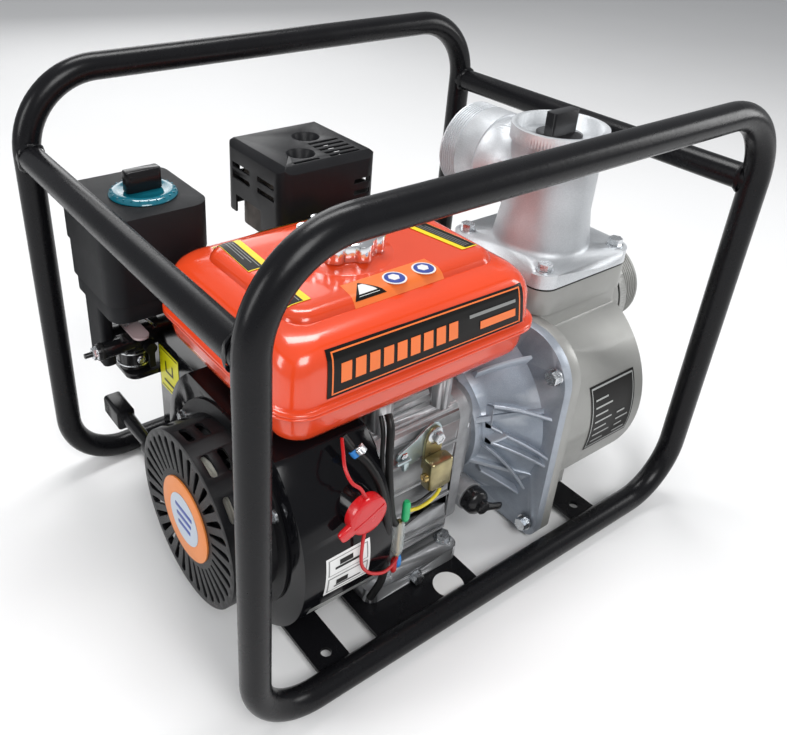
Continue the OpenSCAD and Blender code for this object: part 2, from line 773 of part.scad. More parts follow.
module guard_screws() {
  color(zinc) for (p = guard_screw) {
    zcyl(333, 346, p[0], p[1], 2.45);
    zcyl(346, 349, p[0], p[1], 5.5);
  }
}

module tank_slab(z, inset, r) {
  translate([tank_cx, tank_cy, z]) linear_extrude(0.2) round_rect(
    -tank_l / 2 + inset, tank_l / 2 - inset, -tank_w / 2 + inset, tank_w / 2 - inset, r);
}

module tank_top() {
  color(tank_red) difference() {
    union() {
      zblock(tank_x0, tank_x1, tank_y0, tank_y1, seam_z, seam_z + 3, 30);
      hull($fn = 32) {
        tank_slab(seam_z + 1, 7, 24);
        tank_slab(seam_z + 40, 12, 24);
        tank_slab(seam_z + 55, 32, 22);
      }
      zblock(-166, 32, -108, 30, seam_z + 52, panel_z, 12);
      zcyl(panel_z - 1, panel_z + 5, cap_x, cap_y, 31);
    }
    hull($fn = 32) {
      tank_slab(seam_z - 1, 9, 22);
      tank_slab(seam_z + 39, 14, 22);
      tank_slab(seam_z + 52, 34, 20);
    }
    zcyl(seam_z + 40, panel_z + 6, cap_x, cap_y, 22);
  }
}

module tank_bottom() {
  color(tank_red) difference() {
    union() {
      zblock(tank_x0, tank_x1, tank_y0, tank_y1, seam_z - 3, seam_z, 30);
      hull($fn = 32) {
        tank_slab(seam_z - 1, 7, 24);
        tank_slab(seam_z - 26, 9, 24);
        tank_slab(seam_z - 38, 22, 20);
      }
    }
    hull($fn = 32) {
      tank_slab(seam_z + 0.9, 9, 22);
      tank_slab(seam_z - 25, 11, 22);
      tank_slab(seam_z - 36, 24, 18);
    }
    zcyl(200, seam_z, -150, 10, 5);
  }
}

// Rubber mounts between the crankcase posts and the tank
module tank_posts() {
  color(black) for (p = post_at) zcyl(seam_z - 42, seam_z - 38, p[0], p[1], 12);
}

module fuel_cap() {
  color(bright) difference() {
    union() {
      translate([cap_x, cap_y, panel_z + 5.3]) linear_extrude(14) {
        circle(33);
        for (a = [0 : 45 : 315]) rotate(a) translate([29, 0]) circle(9);
      }
      zcyl(panel_z + 19.3, panel_z + 22.3, cap_x, cap_y, 32, 26);
    }
    zcyl(panel_z, panel_z + 15, cap_x, cap_y, 28);
  }
  color(black) zcyl(panel_z - 12, panel_z + 15, cap_x, cap_y, 21.7);
}

// ---------- service side ----------

module engine_switch() {
  color([0.85, 0.1, 0.1]) {
    ycyl(switch_face - 11, switch_face - 0.3, switch_x, switch_z, 19);
    translate([switch_x, 0, switch_z]) rotate([0, -25, 0])
      box(-29, 0, switch_face - 10, switch_face - 3, -6, 6);
  }
}

module oil_alert_unit() {
  color([0.62, 0.68, 0.72]) {
    box(-89, -39, -140, -136.5, 168, 192);
    for (x = [-82, -46]) ycyl(-136.6, -132, x, 178, 5);
  }
  color([0.62, 0.54, 0.28]) {
    xblock(-64, -36, -156, -143, 133, 163, 3);
    box(-60, -42, -143.5, -139.8, 150, 190);
  }
  color(zinc) translate([-58, -143.5, 182]) rotate([90, 0, 0]) flange_bolt(3, 1);
}

loom_route = [[-128, -136, 224], [-120, -154, 207], [-110, -160, 178], [-105, -160, 150],
  [-104, -160, 136], [-104, -160, 124]];
hose_route = [[-146, -138, 224], [-140, -156, 210], [-128, -168, 184], [-118, -173, 160],
  [-112, -167, 138], [-111.5, -162, 110], [-113, -162, 84], [-118, -166, 62], [-126, -158, 42]];
sensor_route = [[-50, -150, 132], [-54, -153, 126], [-68, -161, 122], [-82, -164, 125],
  [-88, -163, 134], [-89.8, -163, 138]];
red_upper_route = [[-152, -175, 190.5], [-158, -173, 202], [-163, -166, 212], [-162, -154, 220],
  [-154, -142, 224]];
red_lower_route = [[-152, -176, 151.5], [-155, -177.5, 140], [-154, -177.5, 118], [-144, -177.5, 102],
  [-128, -176.5, 94], [-112, -173.5, 90], [-102, -170.2, 90]];

module wiring_loom() {
  color(black) {
    swept_tube(smooth_route(loom_route, 3), 3.6);
    swept_tube(smooth_route(hose_route, 3), 3.2);
    swept_tube(smooth_route(sensor_route, 3), 1.6);
  }
  color([0.8, 0.1, 0.1]) {
    swept_tube(smooth_route(red_upper_route, 3), 1.5);
    swept_tube(smooth_route(red_lower_route, 3), 1.5);
  }
}

module wire_connectors() {
  color([0.8, 0.85, 0.85]) {
    zblock(-108, -92, -168, -154, 84, 123.7, 3);
    zblock(-99.8, -92, -168, -158, 123.7, 146, 2.5);
    zblock(-106, -94, -165, -155, 64, 84, 3);
  }
}

module dipstick() {
  color(black) {
    ycyl(-150, -136.3, dip_x, dip_z, 13);
    ycyl(-157, -149, dip_x, dip_z, 8);
    translate([dip_x, 0, dip_z]) rotate([0, 25, 0]) box(0, 30, -157, -151, -4, 4);
    ycyl(-137, -104, dip_x, dip_z, 8.3);
  }
  color("white") ycyl(-104.5, -70, dip_x, dip_z, 3);
}

// ---------- pump ----------

// Outline of the joint between bell and casing: round shoulders above, corners below
module joint_outline(inset) {
  lo = 6 + inset;
  hi = 238 - inset;
  y0 = crank_y - 118 + inset;
  y1 = crank_y + 118 - inset;
  translate([y0, 120]) square([y1 - y0, hi - 50 - 120]);
  translate([y0 + 50, 120]) square([y1 - y0 - 100, hi - 120]);
  for (y = [y0 + 50, y1 - 50]) translate([y, hi - 50]) circle(50);
  translate([y0, lo + 12]) square([y1 - y0, 121 - lo - 12]);
  translate([y0 + 12, lo]) square([y1 - y0 - 24, 40]);
  for (y = [y0 + 12, y1 - 12]) translate([y, lo + 12]) circle(12);
}

module joint_slab(x0, x1, inset) {
  translate([x0, 0, 0]) rotate([90, 0, 90]) linear_extrude(x1 - x0) joint_outline(inset);
}

joint_bolts = [[-106, 22], [-106, 206], [106, 206], [106, 22]];

module bell_housing() {
  color(bell_cast) difference() {
    union() {
      xcyl(cover_x1, 40, crank_y, crank_z, 66);
      xcyl(38, bell_x1 - 9, crank_y, crank_z, 64, 106);
      joint_slab(bell_x1 - 10, bell_x1, 0);
      for (i = [0 : 7]) rotate_about_crank(22.5 + 45 * i) bell_rib();
    }
    xcyl(40, bell_x1 - 14, crank_y, crank_z, 58, 92);
    xcyl(cover_x1 - 1, 41, crank_y, crank_z, 40);
    for (a = [45, 135, 225, 315]) rotate_about_crank(a) {
      xcyl(cover_x1 - 1, 41, 56, 0, 4.2);
      xcyl(cover_x1 + 8, 60, 56, 0, 9);
    }
    xcyl(70, bell_x1 + 1, crank_y, crank_z, 20);
    for (p = joint_bolts) xcyl(70, 100, crank_y + p[0], p[1], 4.2);
  }
}

// Triangular rib that runs out along the cone; its own plane holds the crankshaft
module bell_rib() {
  translate([0, 0, -2.5]) linear_extrude(5)
    polygon([[32, 50], [32, 66], [44, 76], [bell_x1 - 5, 112], [bell_x1 - 5, 50]]);
}

module pump_casing() {
  color(casing_paint) difference() {
    union() {
      joint_slab(bell_x1, 104, 0);
      intersection() {
        xcyl(103, casing_x1, crank_y, crank_z, casing_r);
        box(90, 300, -300, 300, plate_z, 400);
      }
      zblock(100, 224, tower_y - 62, tower_y + 62, 150, 240, 10);
      zblock(tower_x - flange_half, tower_x + flange_half, tower_y - flange_half,
        tower_y + flange_half, 240, 266, 18);
      xcyl(200, 232, suction_y, suction_z, 54);
      box(132, 170, crank_y - 80, crank_y + 80, plate_z, 30);
      xcyl(215, 228, crank_y - 20, 42, 16);
    }
    intersection() {
      xcyl(bell_x1 - 1, casing_x1 - 7, crank_y, crank_z, casing_r - 8);
      box(90, 300, -300, 300, plate_z + 10, 400);
    }
    zblock(108, 215, tower_y - 54, tower_y + 54, 150, 240, 6);
    zcyl(200, 270, tower_x, tower_y, 48);
    xcyl(190, 233, suction_y, suction_z, 42);
    xcyl(200, 230, crank_y - 20, 42, 9);
    for (p = joint_bolts) xcyl(80, 110, crank_y + p[0], p[1], 4.2);
    for (x = [-52, 52], y = [-52, 52]) zcyl(244, 270, tower_x + x, tower_y + y, 4);
    for (y = [crank_y - 62, crank_y + 62]) zcyl(0, 26, 151, y, 4);
    for (a = [45, 135, 225, 315]) translate([0, suction_y, suction_z]) rotate([a, 0, 0]) xcyl(218, 240, 47, 0, 2.5);
  }
}

module casing_bolts() {
  color(zinc) {
    for (p = joint_bolts) translate([104, crank_y + p[0], p[1]])
      rotate([0, -90, 0]) translate([0, 0, 24]) flange_bolt(4, 22);
    for (x = [-52, 52], y = [-52, 52]) translate([tower_x + x, tower_y + y, flange_z])
      flange_bolt(4, 34);
  }
}

module volute_insert() {
  color([0.3, 0.3, 0.32]) difference() {
    union() {
      xcyl(bell_x1, 150, crank_y, crank_z, 92);
      zblock(109, 140, crank_y - 30, crank_y + 30, 180, 226, 8);
    }
    xcyl(100, 142, crank_y, crank_z, 80);
    zblock(113, 136, crank_y - 24, crank_y + 24, 170, 229, 5);
    xcyl(bell_x1 - 1, 101, crank_y, crank_z, 84);
    xcyl(140, 151, crank_y, crank_z, 34);
  }
}

module impeller() {
  color([0.4, 0.38, 0.35]) difference() {
    union() {
      xcyl(106, 112, crank_y, crank_z, impeller_d / 2);
      xcyl(104, 138, crank_y, crank_z, 17);
      translate([111, crank_y, crank_z]) rotate([90, 0, 90]) linear_extrude(24)
        for (a = [0 : 90 : 270]) rotate(a) vane_outline();
    }
    xcyl(100, 132, crank_y, crank_z, pto_r);
  }
}

// One curved vane, swept back from the hub to the rim
module vane_outline() {
  intersection() {
    difference() {
      translate([-16, 34]) circle(40);
      translate([-16, 34]) circle(35);
    }
    circle(impeller_d / 2 - 2);
    translate([8, -20]) square([70, 90]);
  }
}

module shaft_seal() {
  color([0.2, 0.2, 0.2]) difference() {
    xcyl(80, 99, crank_y, crank_z, 19.95);
    xcyl(79, 100, crank_y, crank_z, pto_r + running);
  }
}

module port_gaskets() {
  color(black) {
    difference() {
      zblock(tower_x - flange_half + 0.5, tower_x + flange_half - 0.5, tower_y - flange_half + 0.5,
        tower_y + flange_half - 0.5, 266, 268, 18);
      zcyl(260, 270, tower_x, tower_y, 40);
      for (x = [-52, 52], y = [-52, 52]) zcyl(260, 270, tower_x + x, tower_y + y, 4.2);
    }
    difference() {
      xcyl(232, 235, suction_y, suction_z, 53);
      xcyl(231, 236, suction_y, suction_z, 36);
      for (a = [45, 135, 225, 315]) translate([0, suction_y, suction_z]) rotate([a, 0, 0]) xcyl(230, 240, 47, 0, 2.7);
    }
  }
}

module suction_port() {
  color(casing_paint) difference() {
    union() {
      xcyl(235, 245, suction_y, suction_z, 54);
      xcyl(244, suction_x1, suction_y, suction_z, port_r);
    }
    xcyl(234, suction_x1 + 1, suction_y, suction_z, port_bore / 2);
    for (a = [45, 135, 225, 315]) translate([0, suction_y, suction_z]) rotate([a, 0, 0]) xcyl(230, 250, 47, 0, 2.7);
  }
}

module check_flap() {
  color([0.15, 0.15, 0.15]) {
    xcyl(226, 231.4, suction_y, suction_z, 37.8);
    ycyl(suction_y - 8, suction_y + 8, 229, suction_z + 37, 2.2);
  }
}

module discharge_tower() {
  color(bright) difference() {
    union() {
      zblock(tower_x - flange_half, tower_x + flange_half, tower_y - flange_half,
        tower_y + flange_half, 268, flange_z, 18);
      zcyl(flange_z - 1, 320, tower_x, tower_y, 49, 43);
      zcyl(320, tower_top - 10, tower_x, tower_y, 43);
      zcyl(tower_top - 14, tower_top, tower_x, tower_y, 46);
      ycyl(tower_y, 16, tower_x, port_z, port_r - 3);
      ycyl(15, 62, tower_x, port_z, port_r);
      box(tower_x + 40, tower_x + 54, tower_y - 5, tower_y + 5, flange_z, 385);
      box(tower_x + 52, tower_x + 58, tower_y - 8, tower_y + 8, 318, 345);
    }
    zcyl(260, plug_z - 6, tower_x, tower_y, port_bore / 2);
    ycyl(tower_y, 63, tower_x, port_z, port_bore / 2);
    zcyl(plug_z, tower_top + 1, tower_x, tower_y, 41);
    zcyl(plug_z - 10, plug_z + 1, tower_x, tower_y, 14);
    for (x = [-52, 52], y = [-52, 52]) zcyl(260, 290, tower_x + x, tower_y + y, 4.2);
  }
}

module priming_plug() {
  color(black) {
    zcyl(plug_z + 0.3, plug_z + 5, tower_x, tower_y, 22);
    zcyl(plug_z - 8, plug_z + 1, tower_x, tower_y, 13.9);
    zblock(tower_x - 17, tower_x + 17, tower_y - 6, tower_y + 6, plug_z + 4, plug_z + 27, 2);
  }
}

module casing_drain_plug() {
  color(black) {
    xcyl(228.3, 234, crank_y - 20, 42, 14);
    xcyl(216, 229, crank_y - 20, 42, 8.9);
    xblock(233, 246, crank_y - 32, crank_y - 8, 38, 46, 2);
  }
}

near_hoop();
far_hoop();
cross_bars();
engine_plate();
end_strips();
crankcase();
side_cover();
cylinder_head();
rocker_cover();
spark_plug();
plug_cap();
foot_bolts();
engine_bolts();
oil_drain_plugs();
main_bearings();
oil_seals();
crankshaft();
flywheel();
cooling_fan();
starter_cup();
camshaft();
piston();
ignition_coil();
fan_shroud();
recoil_cover();
recoil_reel();
starter_rope();
starter_handle();
carburettor();
fuel_lever();
choke_lever();
governor_arm();
air_cleaner_base();
air_cleaner_cover();
air_filter();
filter_knob();
muffler();
muffler_guard();
guard_screws();
tank_top();
tank_bottom();
tank_posts();
fuel_cap();
engine_switch();
oil_alert_unit();
wiring_loom();
wire_connectors();
dipstick();
bell_housing();
pump_casing();
casing_bolts();
volute_insert();
impeller();
shaft_seal();
port_gaskets();
suction_port();
check_flap();
discharge_tower();
priming_plug();
casing_drain_plug();
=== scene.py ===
"""Engine driven water pump in its tube frame: finishes, detailed pieces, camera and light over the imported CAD."""
import math

import bmesh
import bpy
from mathutils import Matrix, Vector
from mathutils.bvhtree import BVHTree


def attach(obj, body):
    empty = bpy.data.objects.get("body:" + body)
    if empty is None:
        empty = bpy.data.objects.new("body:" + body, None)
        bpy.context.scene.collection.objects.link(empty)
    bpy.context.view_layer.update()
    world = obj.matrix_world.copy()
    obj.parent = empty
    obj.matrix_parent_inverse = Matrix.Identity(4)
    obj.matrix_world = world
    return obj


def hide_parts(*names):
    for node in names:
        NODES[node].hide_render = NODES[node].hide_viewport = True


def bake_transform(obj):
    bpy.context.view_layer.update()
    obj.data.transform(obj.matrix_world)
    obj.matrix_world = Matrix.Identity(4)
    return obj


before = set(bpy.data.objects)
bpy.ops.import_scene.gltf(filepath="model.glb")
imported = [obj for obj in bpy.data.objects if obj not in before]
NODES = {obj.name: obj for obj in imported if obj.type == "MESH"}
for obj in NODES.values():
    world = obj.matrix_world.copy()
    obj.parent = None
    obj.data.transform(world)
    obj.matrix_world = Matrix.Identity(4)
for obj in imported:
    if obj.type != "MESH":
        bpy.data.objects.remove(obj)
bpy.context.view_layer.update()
MM = 0.001

# ---------------------------------------------------------------- places, in millimetres, as the CAD has them
CRANK_Y, CRANK_Z = -54.0, 120.0         # axis of the crankshaft and the impeller, along x
HOOP_X, BAR_Z = 266.0, 372.0            # where the cross bars meet the hoops
CAP_X, CAP_Y = -84.0, -37.0             # fuel cap's axis
TOWER_X, PORT_Z = 162.0, 347.0          # discharge port's axis, along y
SUCTION_Y, SUCTION_Z = -57.0, 207.0     # suction port's axis, along x
SWITCH = (-151.0, -169.3, 171.0)        # foot of the engine switch's dial
KNOB = (-190.0, 120.0, 345.0)           # foot of the air cleaner's dial
FILLER = (16.0, -136.4, 72.0)           # foot of the oil filler cap
STARTER_X = -250.0                      # outer face of the starter cover
BOWL = (-208.0, 135.0)                  # axis of the carburettor's bowl
ROPE_X, ROPE_Z = -238.0, 129.0          # the starter rope's straight run, along y
WELD_HALF_WIDTH = 12.3                  # keeps a weld bead inside the tube's own width

# tank: outline, seam height and top of the raised panel
TANK_X0, TANK_X1, TANK_Y0, TANK_Y1 = -213.0, 63.0, -150.0, 69.0
SEAM = 266.0
PANEL = SEAM + 61.0

# hose threads: the crest is the CAD's plain cylinder, and the root is cut into it
THREAD_CREST, THREAD_RINGS = 45.0, 7
TOWER_ROOT, TOWER_PITCH, TOWER_START = 44.1, 3.0, 40.0
SUCTION_ROOT, SUCTION_PITCH, SUCTION_START = 44.0, 3.1, 252.0

ROUND = 2 * math.pi


# ---------------------------------------------------------------- materials
def material(name, color, metallic=0.0, rough=0.4, vary=0.06, vary_scale=25.0, rough_vary=0.08, bump=0.0,
             bump_scale=400.0, coat=0.0, edge=0.0, speckle=0.0, speckle_scale=900.0, alpha=None,
             transmission=0.0, grime=0.0, stretch=None, sheen=0.0, spec=0.5):
    """One procedural finish: colour and roughness drift, fine bump, bright worn edges, grime and cast sparkle."""
    m = bpy.data.materials.new(name)
    m.use_nodes = True
    nt = m.node_tree
    nodes, links = nt.nodes, nt.links
    bsdf = nodes["Principled BSDF"]
    bsdf.inputs["Metallic"].default_value = metallic
    bsdf.inputs["Specular IOR Level"].default_value = spec
    if coat:
        bsdf.inputs["Coat Weight"].default_value = coat
        bsdf.inputs["Coat Roughness"].default_value = 0.06
    if transmission:
        bsdf.inputs["Transmission Weight"].default_value = transmission
    if sheen:
        bsdf.inputs["Sheen Weight"].default_value = sheen
    if alpha is not None:
        bsdf.inputs["Alpha"].default_value = alpha
    coord = nodes.new("ShaderNodeTexCoord")
    where = coord.outputs["Object"]
    if stretch:
        mapping = nodes.new("ShaderNodeMapping")
        mapping.inputs["Scale"].default_value = stretch
        links.new(where, mapping.inputs["Vector"])
        where = mapping.outputs["Vector"]

    def noise(scale, detail=3.0):
        n = nodes.new("ShaderNodeTexNoise")
        n.inputs["Scale"].default_value = scale
        n.inputs["Detail"].default_value = detail
        links.new(where, n.inputs["Vector"])
        return n.outputs["Fac"]

    def ramp(fac, stops):
        r = nodes.new("ShaderNodeValToRGB")
        r.color_ramp.elements[0].position, r.color_ramp.elements[1].position = stops[0][0], stops[-1][0]
        r.color_ramp.elements[0].color, r.color_ramp.elements[1].color = stops[0][1], stops[-1][1]
        for pos, col in stops[1:-1]:
            e = r.color_ramp.elements.new(pos)
            e.color = col
        links.new(fac, r.inputs["Fac"])
        return r.outputs["Color"]

    def shade(k):
        return tuple(min(1.0, c * k) for c in color) + (1.0,)

    base = ramp(noise(vary_scale), [(0.3, shade(1 - vary)), (0.5, shade(1.0)), (0.7, shade(1 + vary))])
    if speckle:
        spots = ramp(noise(speckle_scale, 1.0), [(0.45, (0, 0, 0, 1)), (0.68, (1, 1, 1, 1))])
        mix = nodes.new("ShaderNodeMix")
        mix.data_type = "RGBA"
        mix.blend_type = "ADD"
        mix.inputs["Factor"].default_value = speckle
        links.new(base, mix.inputs["A"])
        links.new(spots, mix.inputs["B"])
        base = mix.outputs["Result"]
    if grime:
        dirt = ramp(noise(vary_scale * 3.1, 6.0), [(0.35, (1 - grime,) * 3 + (1.0,)), (0.6, (1, 1, 1, 1))])
        mix = nodes.new("ShaderNodeMix")
        mix.data_type = "RGBA"
        mix.blend_type = "MULTIPLY"
        mix.inputs["Factor"].default_value = 1.0
        links.new(base, mix.inputs["A"])
        links.new(dirt, mix.inputs["B"])
        base = mix.outputs["Result"]
    if edge:
        geo = nodes.new("ShaderNodeNewGeometry")
        worn = ramp(geo.outputs["Pointiness"], [(0.5, (0, 0, 0, 1)), (0.62, (edge, edge, edge, 1))])
        mix = nodes.new("ShaderNodeMix")
        mix.data_type = "RGBA"
        mix.blend_type = "ADD"
        mix.inputs["Factor"].default_value = 1.0
        links.new(base, mix.inputs["A"])
        links.new(worn, mix.inputs["B"])
        base = mix.outputs["Result"]
    links.new(base, bsdf.inputs["Base Color"])
    if rough_vary:
        spread = nodes.new("ShaderNodeMapRange")
        spread.inputs["To Min"].default_value = max(0.02, rough - rough_vary)
        spread.inputs["To Max"].default_value = min(1.0, rough + rough_vary)
        links.new(noise(vary_scale * 2.3, 4.0), spread.inputs["Value"])
        links.new(spread.outputs["Result"], bsdf.inputs["Roughness"])
    else:
        bsdf.inputs["Roughness"].default_value = rough
    if bump:
        b = nodes.new("ShaderNodeBump")
        b.inputs["Strength"].default_value = bump
        b.inputs["Distance"].default_value = 0.0006
        links.new(noise(bump_scale, 2.0), b.inputs["Height"])
        links.new(b.outputs["Normal"], bsdf.inputs["Normal"])
    return m


M = {
    "tube": material("gloss_black_powder_coat", (0.0055, 0.0055, 0.0065), rough=0.27, rough_vary=0.05, bump=0.08,
                     bump_scale=260, vary=0.1, spec=0.2),
    "shroud": material("gloss_black_enamel", (0.004, 0.004, 0.005), rough=0.13, rough_vary=0.04, bump=0.03,
                       bump_scale=180, spec=0.22),
    "tank": material("tank_enamel", (0.70, 0.058, 0.013), rough=0.22, rough_vary=0.05, vary=0.05, vary_scale=9,
                     bump=0.04, bump_scale=150, coat=0.5),
    "cast": material("cast_aluminium", (0.27, 0.275, 0.285), metallic=0.55, rough=0.47, vary=0.12, bump=0.3,
                     bump_scale=900, edge=0.12, grime=0.22),
    "bright": material("blasted_aluminium", (0.47, 0.49, 0.51), metallic=0.6, rough=0.40, bump=0.3,
                       bump_scale=2000, speckle=0.22, speckle_scale=2600, edge=0.12, vary=0.04),
    "bell": material("bell_aluminium", (0.25, 0.285, 0.335), metallic=0.5, rough=0.42, vary=0.08, bump=0.25,
                     bump_scale=1100, edge=0.2, grime=0.1, speckle=0.06, speckle_scale=2200),
    # the ribs' finish is the bell's aluminium made lighter: a painted highlight on the web ridges
    "bell_edge": material("bell_rib_painted_highlight", (0.46, 0.50, 0.56), metallic=0.6, rough=0.36, vary=0.08, bump=0.2,
                          bump_scale=900),
    "casing": material("casing_paint", (0.30, 0.30, 0.285), metallic=0.35, rough=0.42, vary=0.05, bump=0.25,
                       bump_scale=700, edge=0.06, coat=0.1),
    "iron": material("cast_iron", (0.12, 0.115, 0.11), metallic=0.6, rough=0.6, bump=0.8, bump_scale=500),
    "zinc": material("zinc_plate", (0.60, 0.62, 0.64), metallic=1.0, rough=0.27, vary=0.12, vary_scale=120,
                     bump=0.12, bump_scale=600, edge=0.1),
    "zinc_blue": material("blue_zinc_sheet", (0.42, 0.50, 0.52), metallic=0.85, rough=0.3, vary=0.16, vary_scale=60,
                          bump=0.1, bump_scale=400),
    "steel": material("machined_steel", (0.42, 0.42, 0.43), metallic=1.0, rough=0.3, vary=0.1, vary_scale=60,
                      bump=0.15, bump_scale=300, stretch=(8, 1, 1)),
    "hot_steel": material("muffler_steel", (0.10, 0.085, 0.075), metallic=0.8, rough=0.55, vary=0.3, grime=0.4),
    "chrome": material("cap_chrome", (0.78, 0.79, 0.81), metallic=1.0, rough=0.13, rough_vary=0.04, vary=0.03),
    "satin": material("satin_black_plastic", (0.007, 0.007, 0.008), rough=0.3, rough_vary=0.07, bump=0.3,
                      bump_scale=1500, vary=0.15, spec=0.12),
    "cleaner": material("grained_black_plastic", (0.009, 0.0095, 0.011), rough=0.5, rough_vary=0.05, bump=0.5,
                        bump_scale=1800, vary=0.12, spec=0.16),
    "guard": material("satin_black_sheet", (0.009, 0.0092, 0.0105), rough=0.4, rough_vary=0.06, bump=0.25,
                      bump_scale=900, spec=0.18),
    "rubber": material("black_rubber", (0.006, 0.006, 0.006), rough=0.4, bump=0.2, bump_scale=900, spec=0.3),
    "moulded": material("black_moulded_plastic", (0.007, 0.007, 0.008), rough=0.24, bump=0.12, bump_scale=600,
                        spec=0.35),
    "red": material("red_moulded_plastic", (0.56, 0.008, 0.012), rough=0.26, bump=0.08, bump_scale=500, coat=0.25),
    "red_wire": material("red_wire_jacket", (0.48, 0.01, 0.013), rough=0.35),
    "yellow_wire": material("yellow_wire_jacket", (0.62, 0.5, 0.02), rough=0.4),
    "green": material("green_terminal_cover", (0.02, 0.42, 0.15), rough=0.3),
    "blue": material("blue_terminal_cover", (0.03, 0.2, 0.55), rough=0.3),
    "clear": material("clear_terminal_sleeve", (0.66, 0.72, 0.74), rough=0.16, transmission=0.45, alpha=0.6),
    "teal": material("teal_translucent_plastic", (0.006, 0.15, 0.21), rough=0.13, transmission=0.2, coat=0.5),
    "smoky": material("smoky_translucent_plastic", (0.55, 0.42, 0.43), rough=0.2, transmission=0.3),
    "brass": material("yellow_passivated_steel", (0.36, 0.31, 0.17), metallic=0.9, rough=0.3, vary=0.25,
                      vary_scale=70, bump=0.1),
    "brass_nut": material("brass_nut", (0.55, 0.41, 0.18), metallic=1.0, rough=0.25, vary=0.1),
    "foam": material("filter_foam", (0.62, 0.5, 0.18), rough=0.9, bump=1.0, bump_scale=900),
    "rope": material("braided_rope", (0.72, 0.70, 0.62), rough=0.85, bump=1.0, bump_scale=1100, sheen=0.3),
    "ceramic": material("plug_ceramic", (0.82, 0.82, 0.8), rough=0.15, rough_vary=0.03),
    "white": material("label_white", (0.74, 0.74, 0.73), rough=0.38, vary=0.02),
    "label_black": material("label_black", (0.006, 0.0055, 0.005), rough=0.34, spec=0.2),
    "label_orange": material("label_orange", (0.80, 0.17, 0.03), rough=0.35, vary=0.03),
    "label_yellow": material("label_yellow", (0.83, 0.62, 0.01), rough=0.35, vary=0.03),
    "label_grey": material("label_grey", (0.22, 0.225, 0.22), rough=0.4, vary=0.05),
    "label_silver": material("label_silver", (0.42, 0.43, 0.42), metallic=0.6, rough=0.35, vary=0.05),
    "label_blue": material("label_blue", (0.03, 0.06, 0.30), rough=0.35),
    "label_lime": material("label_lime", (0.72, 0.68, 0.005), rough=0.35),
    "hub_orange": material("hub_label_orange", (0.74, 0.23, 0.05), rough=0.4, vary=0.04),
    "hub_pale": material("hub_label_pale", (0.50, 0.56, 0.64), metallic=0.3, rough=0.4, vary=0.04),
}

# the finish of each CAD node
BY_NODE = {
    "tube": "near_hoop far_hoop cross_bars engine_plate end_strips",
    "shroud": "fan_shroud",
    "cast": "crankcase side_cover cylinder_head piston flywheel",
    "bright": "rocker_cover discharge_tower",
    "bell": "bell_housing",
    "casing": "pump_casing suction_port",
    "iron": "impeller volute_insert",
    "zinc": "foot_bolts engine_bolts oil_drain_plugs casing_bolts guard_screws governor_arm",
    "steel": "crankshaft camshaft main_bearings starter_cup",
    "hot_steel": "muffler",
    "chrome": "fuel_cap",
    "tank": "tank_top tank_bottom",
    "satin": "recoil_cover cooling_fan ignition_coil fuel_lever recoil_reel",
    "cleaner": "air_cleaner_base air_cleaner_cover",
    "guard": "muffler_guard",
    "rubber": "plug_cap tank_posts port_gaskets check_flap oil_seals shaft_seal",
    "moulded": "starter_handle dipstick priming_plug casing_drain_plug wiring_loom carburettor",
    "red": "engine_switch",
    "teal": "filter_knob",
    "smoky": "choke_lever",
    "clear": "wire_connectors",
    "brass": "oil_alert_unit",
    "foam": "air_filter",
    "rope": "starter_rope",
    "ceramic": "spark_plug",
}


def smooth_by_angle(mesh, degrees=32):
    mesh.polygons.foreach_set("use_smooth", [True] * len(mesh.polygons))
    mesh.set_sharp_from_angle(angle=math.radians(degrees))


for key, names in BY_NODE.items():
    for name in names.split():
        obj = NODES[name]
        obj.data.materials.clear()
        obj.data.materials.append(M[key])


def soften(name, width=0.6, segments=2):
    """Rounds a CAD node's edges with a bevel, without touching its own vertices."""
    obj = NODES[name]
    weld = obj.modifiers.new("weld", "WELD")
    weld.merge_threshold = 1e-6
    bevel = obj.modifiers.new("bevel", "BEVEL")
    bevel.width = width * MM
    bevel.segments = segments
    bevel.limit_method = "ANGLE"
    bevel.angle_limit = math.radians(35)
    bevel.harden_normals = False
    bevel.use_clamp_overlap = True


# ---------------------------------------------------------------- mesh helpers
def add(name, bm, mat, body, node=None, smooth=35):
    """Makes a piece from a bmesh whose numbers are millimetres."""
    mesh = bpy.data.meshes.new(name)
    bmesh.ops.recalc_face_normals(bm, faces=bm.faces)
    bm.to_mesh(mesh)
    bm.free()
    mesh.transform(Matrix.Scale(MM, 4))
    obj = bpy.data.objects.new(name, mesh)
    bpy.context.scene.collection.objects.link(obj)
    mats = mat if isinstance(mat, (list, tuple)) else [mat]
    for m in mats:
        mesh.materials.append(M[m])
    if smooth:
        smooth_by_angle(mesh, smooth)
    if body:
        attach(obj, body)
    if node:
        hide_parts(*([node] if isinstance(node, str) else node))
    return obj


def corner_ring(x0, x1, y0, y1, r, z, steps=8):
    """Points of a rounded rectangle, counter-clockwise, at height z."""
    pts = []
    r = max(0.05, min(r, (x1 - x0) / 2 - 0.01, (y1 - y0) / 2 - 0.01))
    for cx, cy, a0 in ((x1 - r, y1 - r, 0), (x0 + r, y1 - r, 90), (x0 + r, y0 + r, 180), (x1 - r, y0 + r, 270)):
        for k in range(steps + 1):
            a = math.radians(a0 + 90 * k / steps)
            pts.append(Vector((cx + r * math.cos(a), cy + r * math.sin(a), z)))
    return pts


def circle(r, h, steps, matrix=Matrix()):
    """Points of a circle about z at height h, placed by the matrix."""
    return [matrix @ Vector((r * math.cos(ROUND * k / steps), r * math.sin(ROUND * k / steps), h))
            for k in range(steps)]


